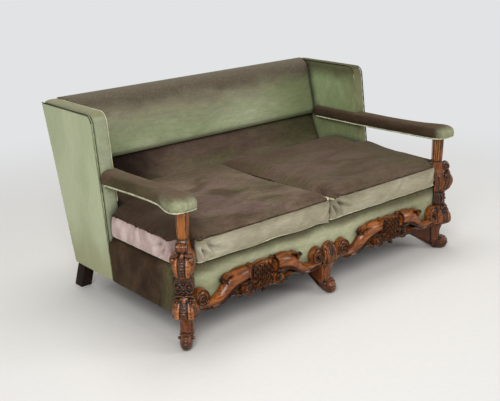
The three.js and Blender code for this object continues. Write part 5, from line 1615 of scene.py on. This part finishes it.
cut_x = WEB_X - WEB_CORNER
web_plan = [
    (-cut_x, WEB_FRONT), (cut_x, WEB_FRONT), (WEB_X, WEB_FRONT + WEB_CORNER),
    (WEB_X, WEB_BACK - WEB_CORNER), (cut_x, WEB_BACK), (-cut_x, WEB_BACK),
    (-WEB_X, WEB_BACK - WEB_CORNER), (-WEB_X, WEB_FRONT + WEB_CORNER)]
seat_plan = [(-INSIDE_X, SEAT_FRONT), (INSIDE_X, SEAT_FRONT), (INSIDE_X, SEAT_REAR), (-INSIDE_X, SEAT_REAR)]
under_cloth = cloth_layer("stretched_bottom_cloth", web_plan, 0.1508, 0.0012, 0.0016, black_cloth)
finished(under_cloth, "black_cloth", "bottom_cloth")
over_springs = cloth_layer("stretched_hessian", seat_plan, 0.3045, 0.0014, 0.0002, hessian)
finished(over_springs, "hessian", "spring_hessian")
seat_web = webbing(
    "interlaced_seat_webbing", (-WEB_X, WEB_FRONT), (WEB_X, WEB_BACK), 9, 5, WEB_CORNER, lambda a,
    b: (a, b, 0.1541), (0, 0, 1))
finished(seat_web, "jute", "seat_webbing")
back_web = webbing(
    "interlaced_back_webbing", (-BACK_WEB_X, BACK_WEB_LOW), (BACK_WEB_X, BACK_WEB_HIGH), 9, 4, 0,
    lambda a, b: (a, outer_back_y(b) - 0.0362, b), (0, -1, 0))
finished(back_web, "jute", "back_webbing")

# Materials of the solids that are seen as they are
finishes = {
    "walnut": walnut, "stained_wood": dark_wood, "beech": beech, "jute": jute, "hessian": hessian,
    "black_cloth": black_cloth, "spring_steel": steel}
for node in nodes.values():
    if not node.hide_render:
        found = finishes[node.data.materials[0].name.split(".")[0]]
        node.data.materials.clear()
        node.data.materials.append(found)


# Floor and light
BACKDROP = rgb((226, 227, 228))
FLOOR_REACH = 12
TARGET = (0, 0, 0.4)


def blended(tree, share, first, second):
    inputs = {0: share, 1: first.outputs[0], 2: second.outputs[0]}
    return new_node(tree, "MixShader", inputs).outputs[0]


def add_stage():
    """A pale floor that keeps the shadow near the sofa and runs into the background further off."""
    corners = [(x * FLOOR_REACH, y * FLOOR_REACH, 0) for x, y in ((-1, -1), (1, -1), (1, 1), (-1, 1))]
    material, tree, shader = new_material("pale_floor")
    speck = mix(tree, grain(tree, 40), (222, 220, 216), (228, 226, 222))
    fill_in(tree, shader, {"Base Color": speck, "Roughness": 0.9, "Specular IOR Level": 0.1})
    far = new_node(tree, "VectorMath", {0: place_of(tree)}, operation="LENGTH").outputs["Value"]
    seen = new_node(tree, "LightPath").outputs["Is Camera Ray"]
    share = arithmetic(tree, "MULTIPLY", ramp(tree, far, 1.1, 3.4), seen)
    output = next(node for node in tree.nodes if node.type == "OUTPUT_MATERIAL")
    glow = new_node(tree, "Emission", {"Color": BACKDROP})
    plug(tree, blended(tree, share, shader, glow), output.inputs["Surface"])
    new_object("floor", mesh_of(corners, [(0, 1, 2, 3)]), material)


def add_light(name, place, size, power):
    data = set_all(bpy.data.lights.new(name, "AREA"), shape="RECTANGLE", size=size[0], size_y=size[1],
                   energy=power)
    lamp = linked(name, data)
    lamp.location = place
    lamp.rotation_euler = (Vector(TARGET) - Vector(place)).to_track_quat("-Z", "Y").to_euler()


def add_world():
    """Soft light from all round. The camera and mirrored or refracted rays see the backdrop."""
    world = bpy.data.worlds.new("studio")
    bpy.context.scene.world = world
    tree = cleared_tree(world)
    rays = new_node(tree, "LightPath").outputs
    seen = arithmetic(tree, "MAXIMUM", rays["Is Camera Ray"], rays["Is Transmission Ray"])
    seen = arithmetic(tree, "MAXIMUM", seen, rays["Is Glossy Ray"])
    lit = new_node(tree, "Background", {"Color": (1, 1, 1, 1), "Strength": 0.42})
    shown = new_node(tree, "Background", {"Color": BACKDROP, "Strength": 1.0})
    new_node(tree, "OutputWorld", {"Surface": blended(tree, seen, lit, shown)})


add_stage()
add_world()
add_light("key", (-3.4, -3.2, 3.4), (2.2, 2.2), 150)
add_light("fill", (3.2, -3.6, 2.4), (2.0, 2.0), 60)
add_light("top", (0.2, 0.6, 4.2), (2.6, 2.0), 70)
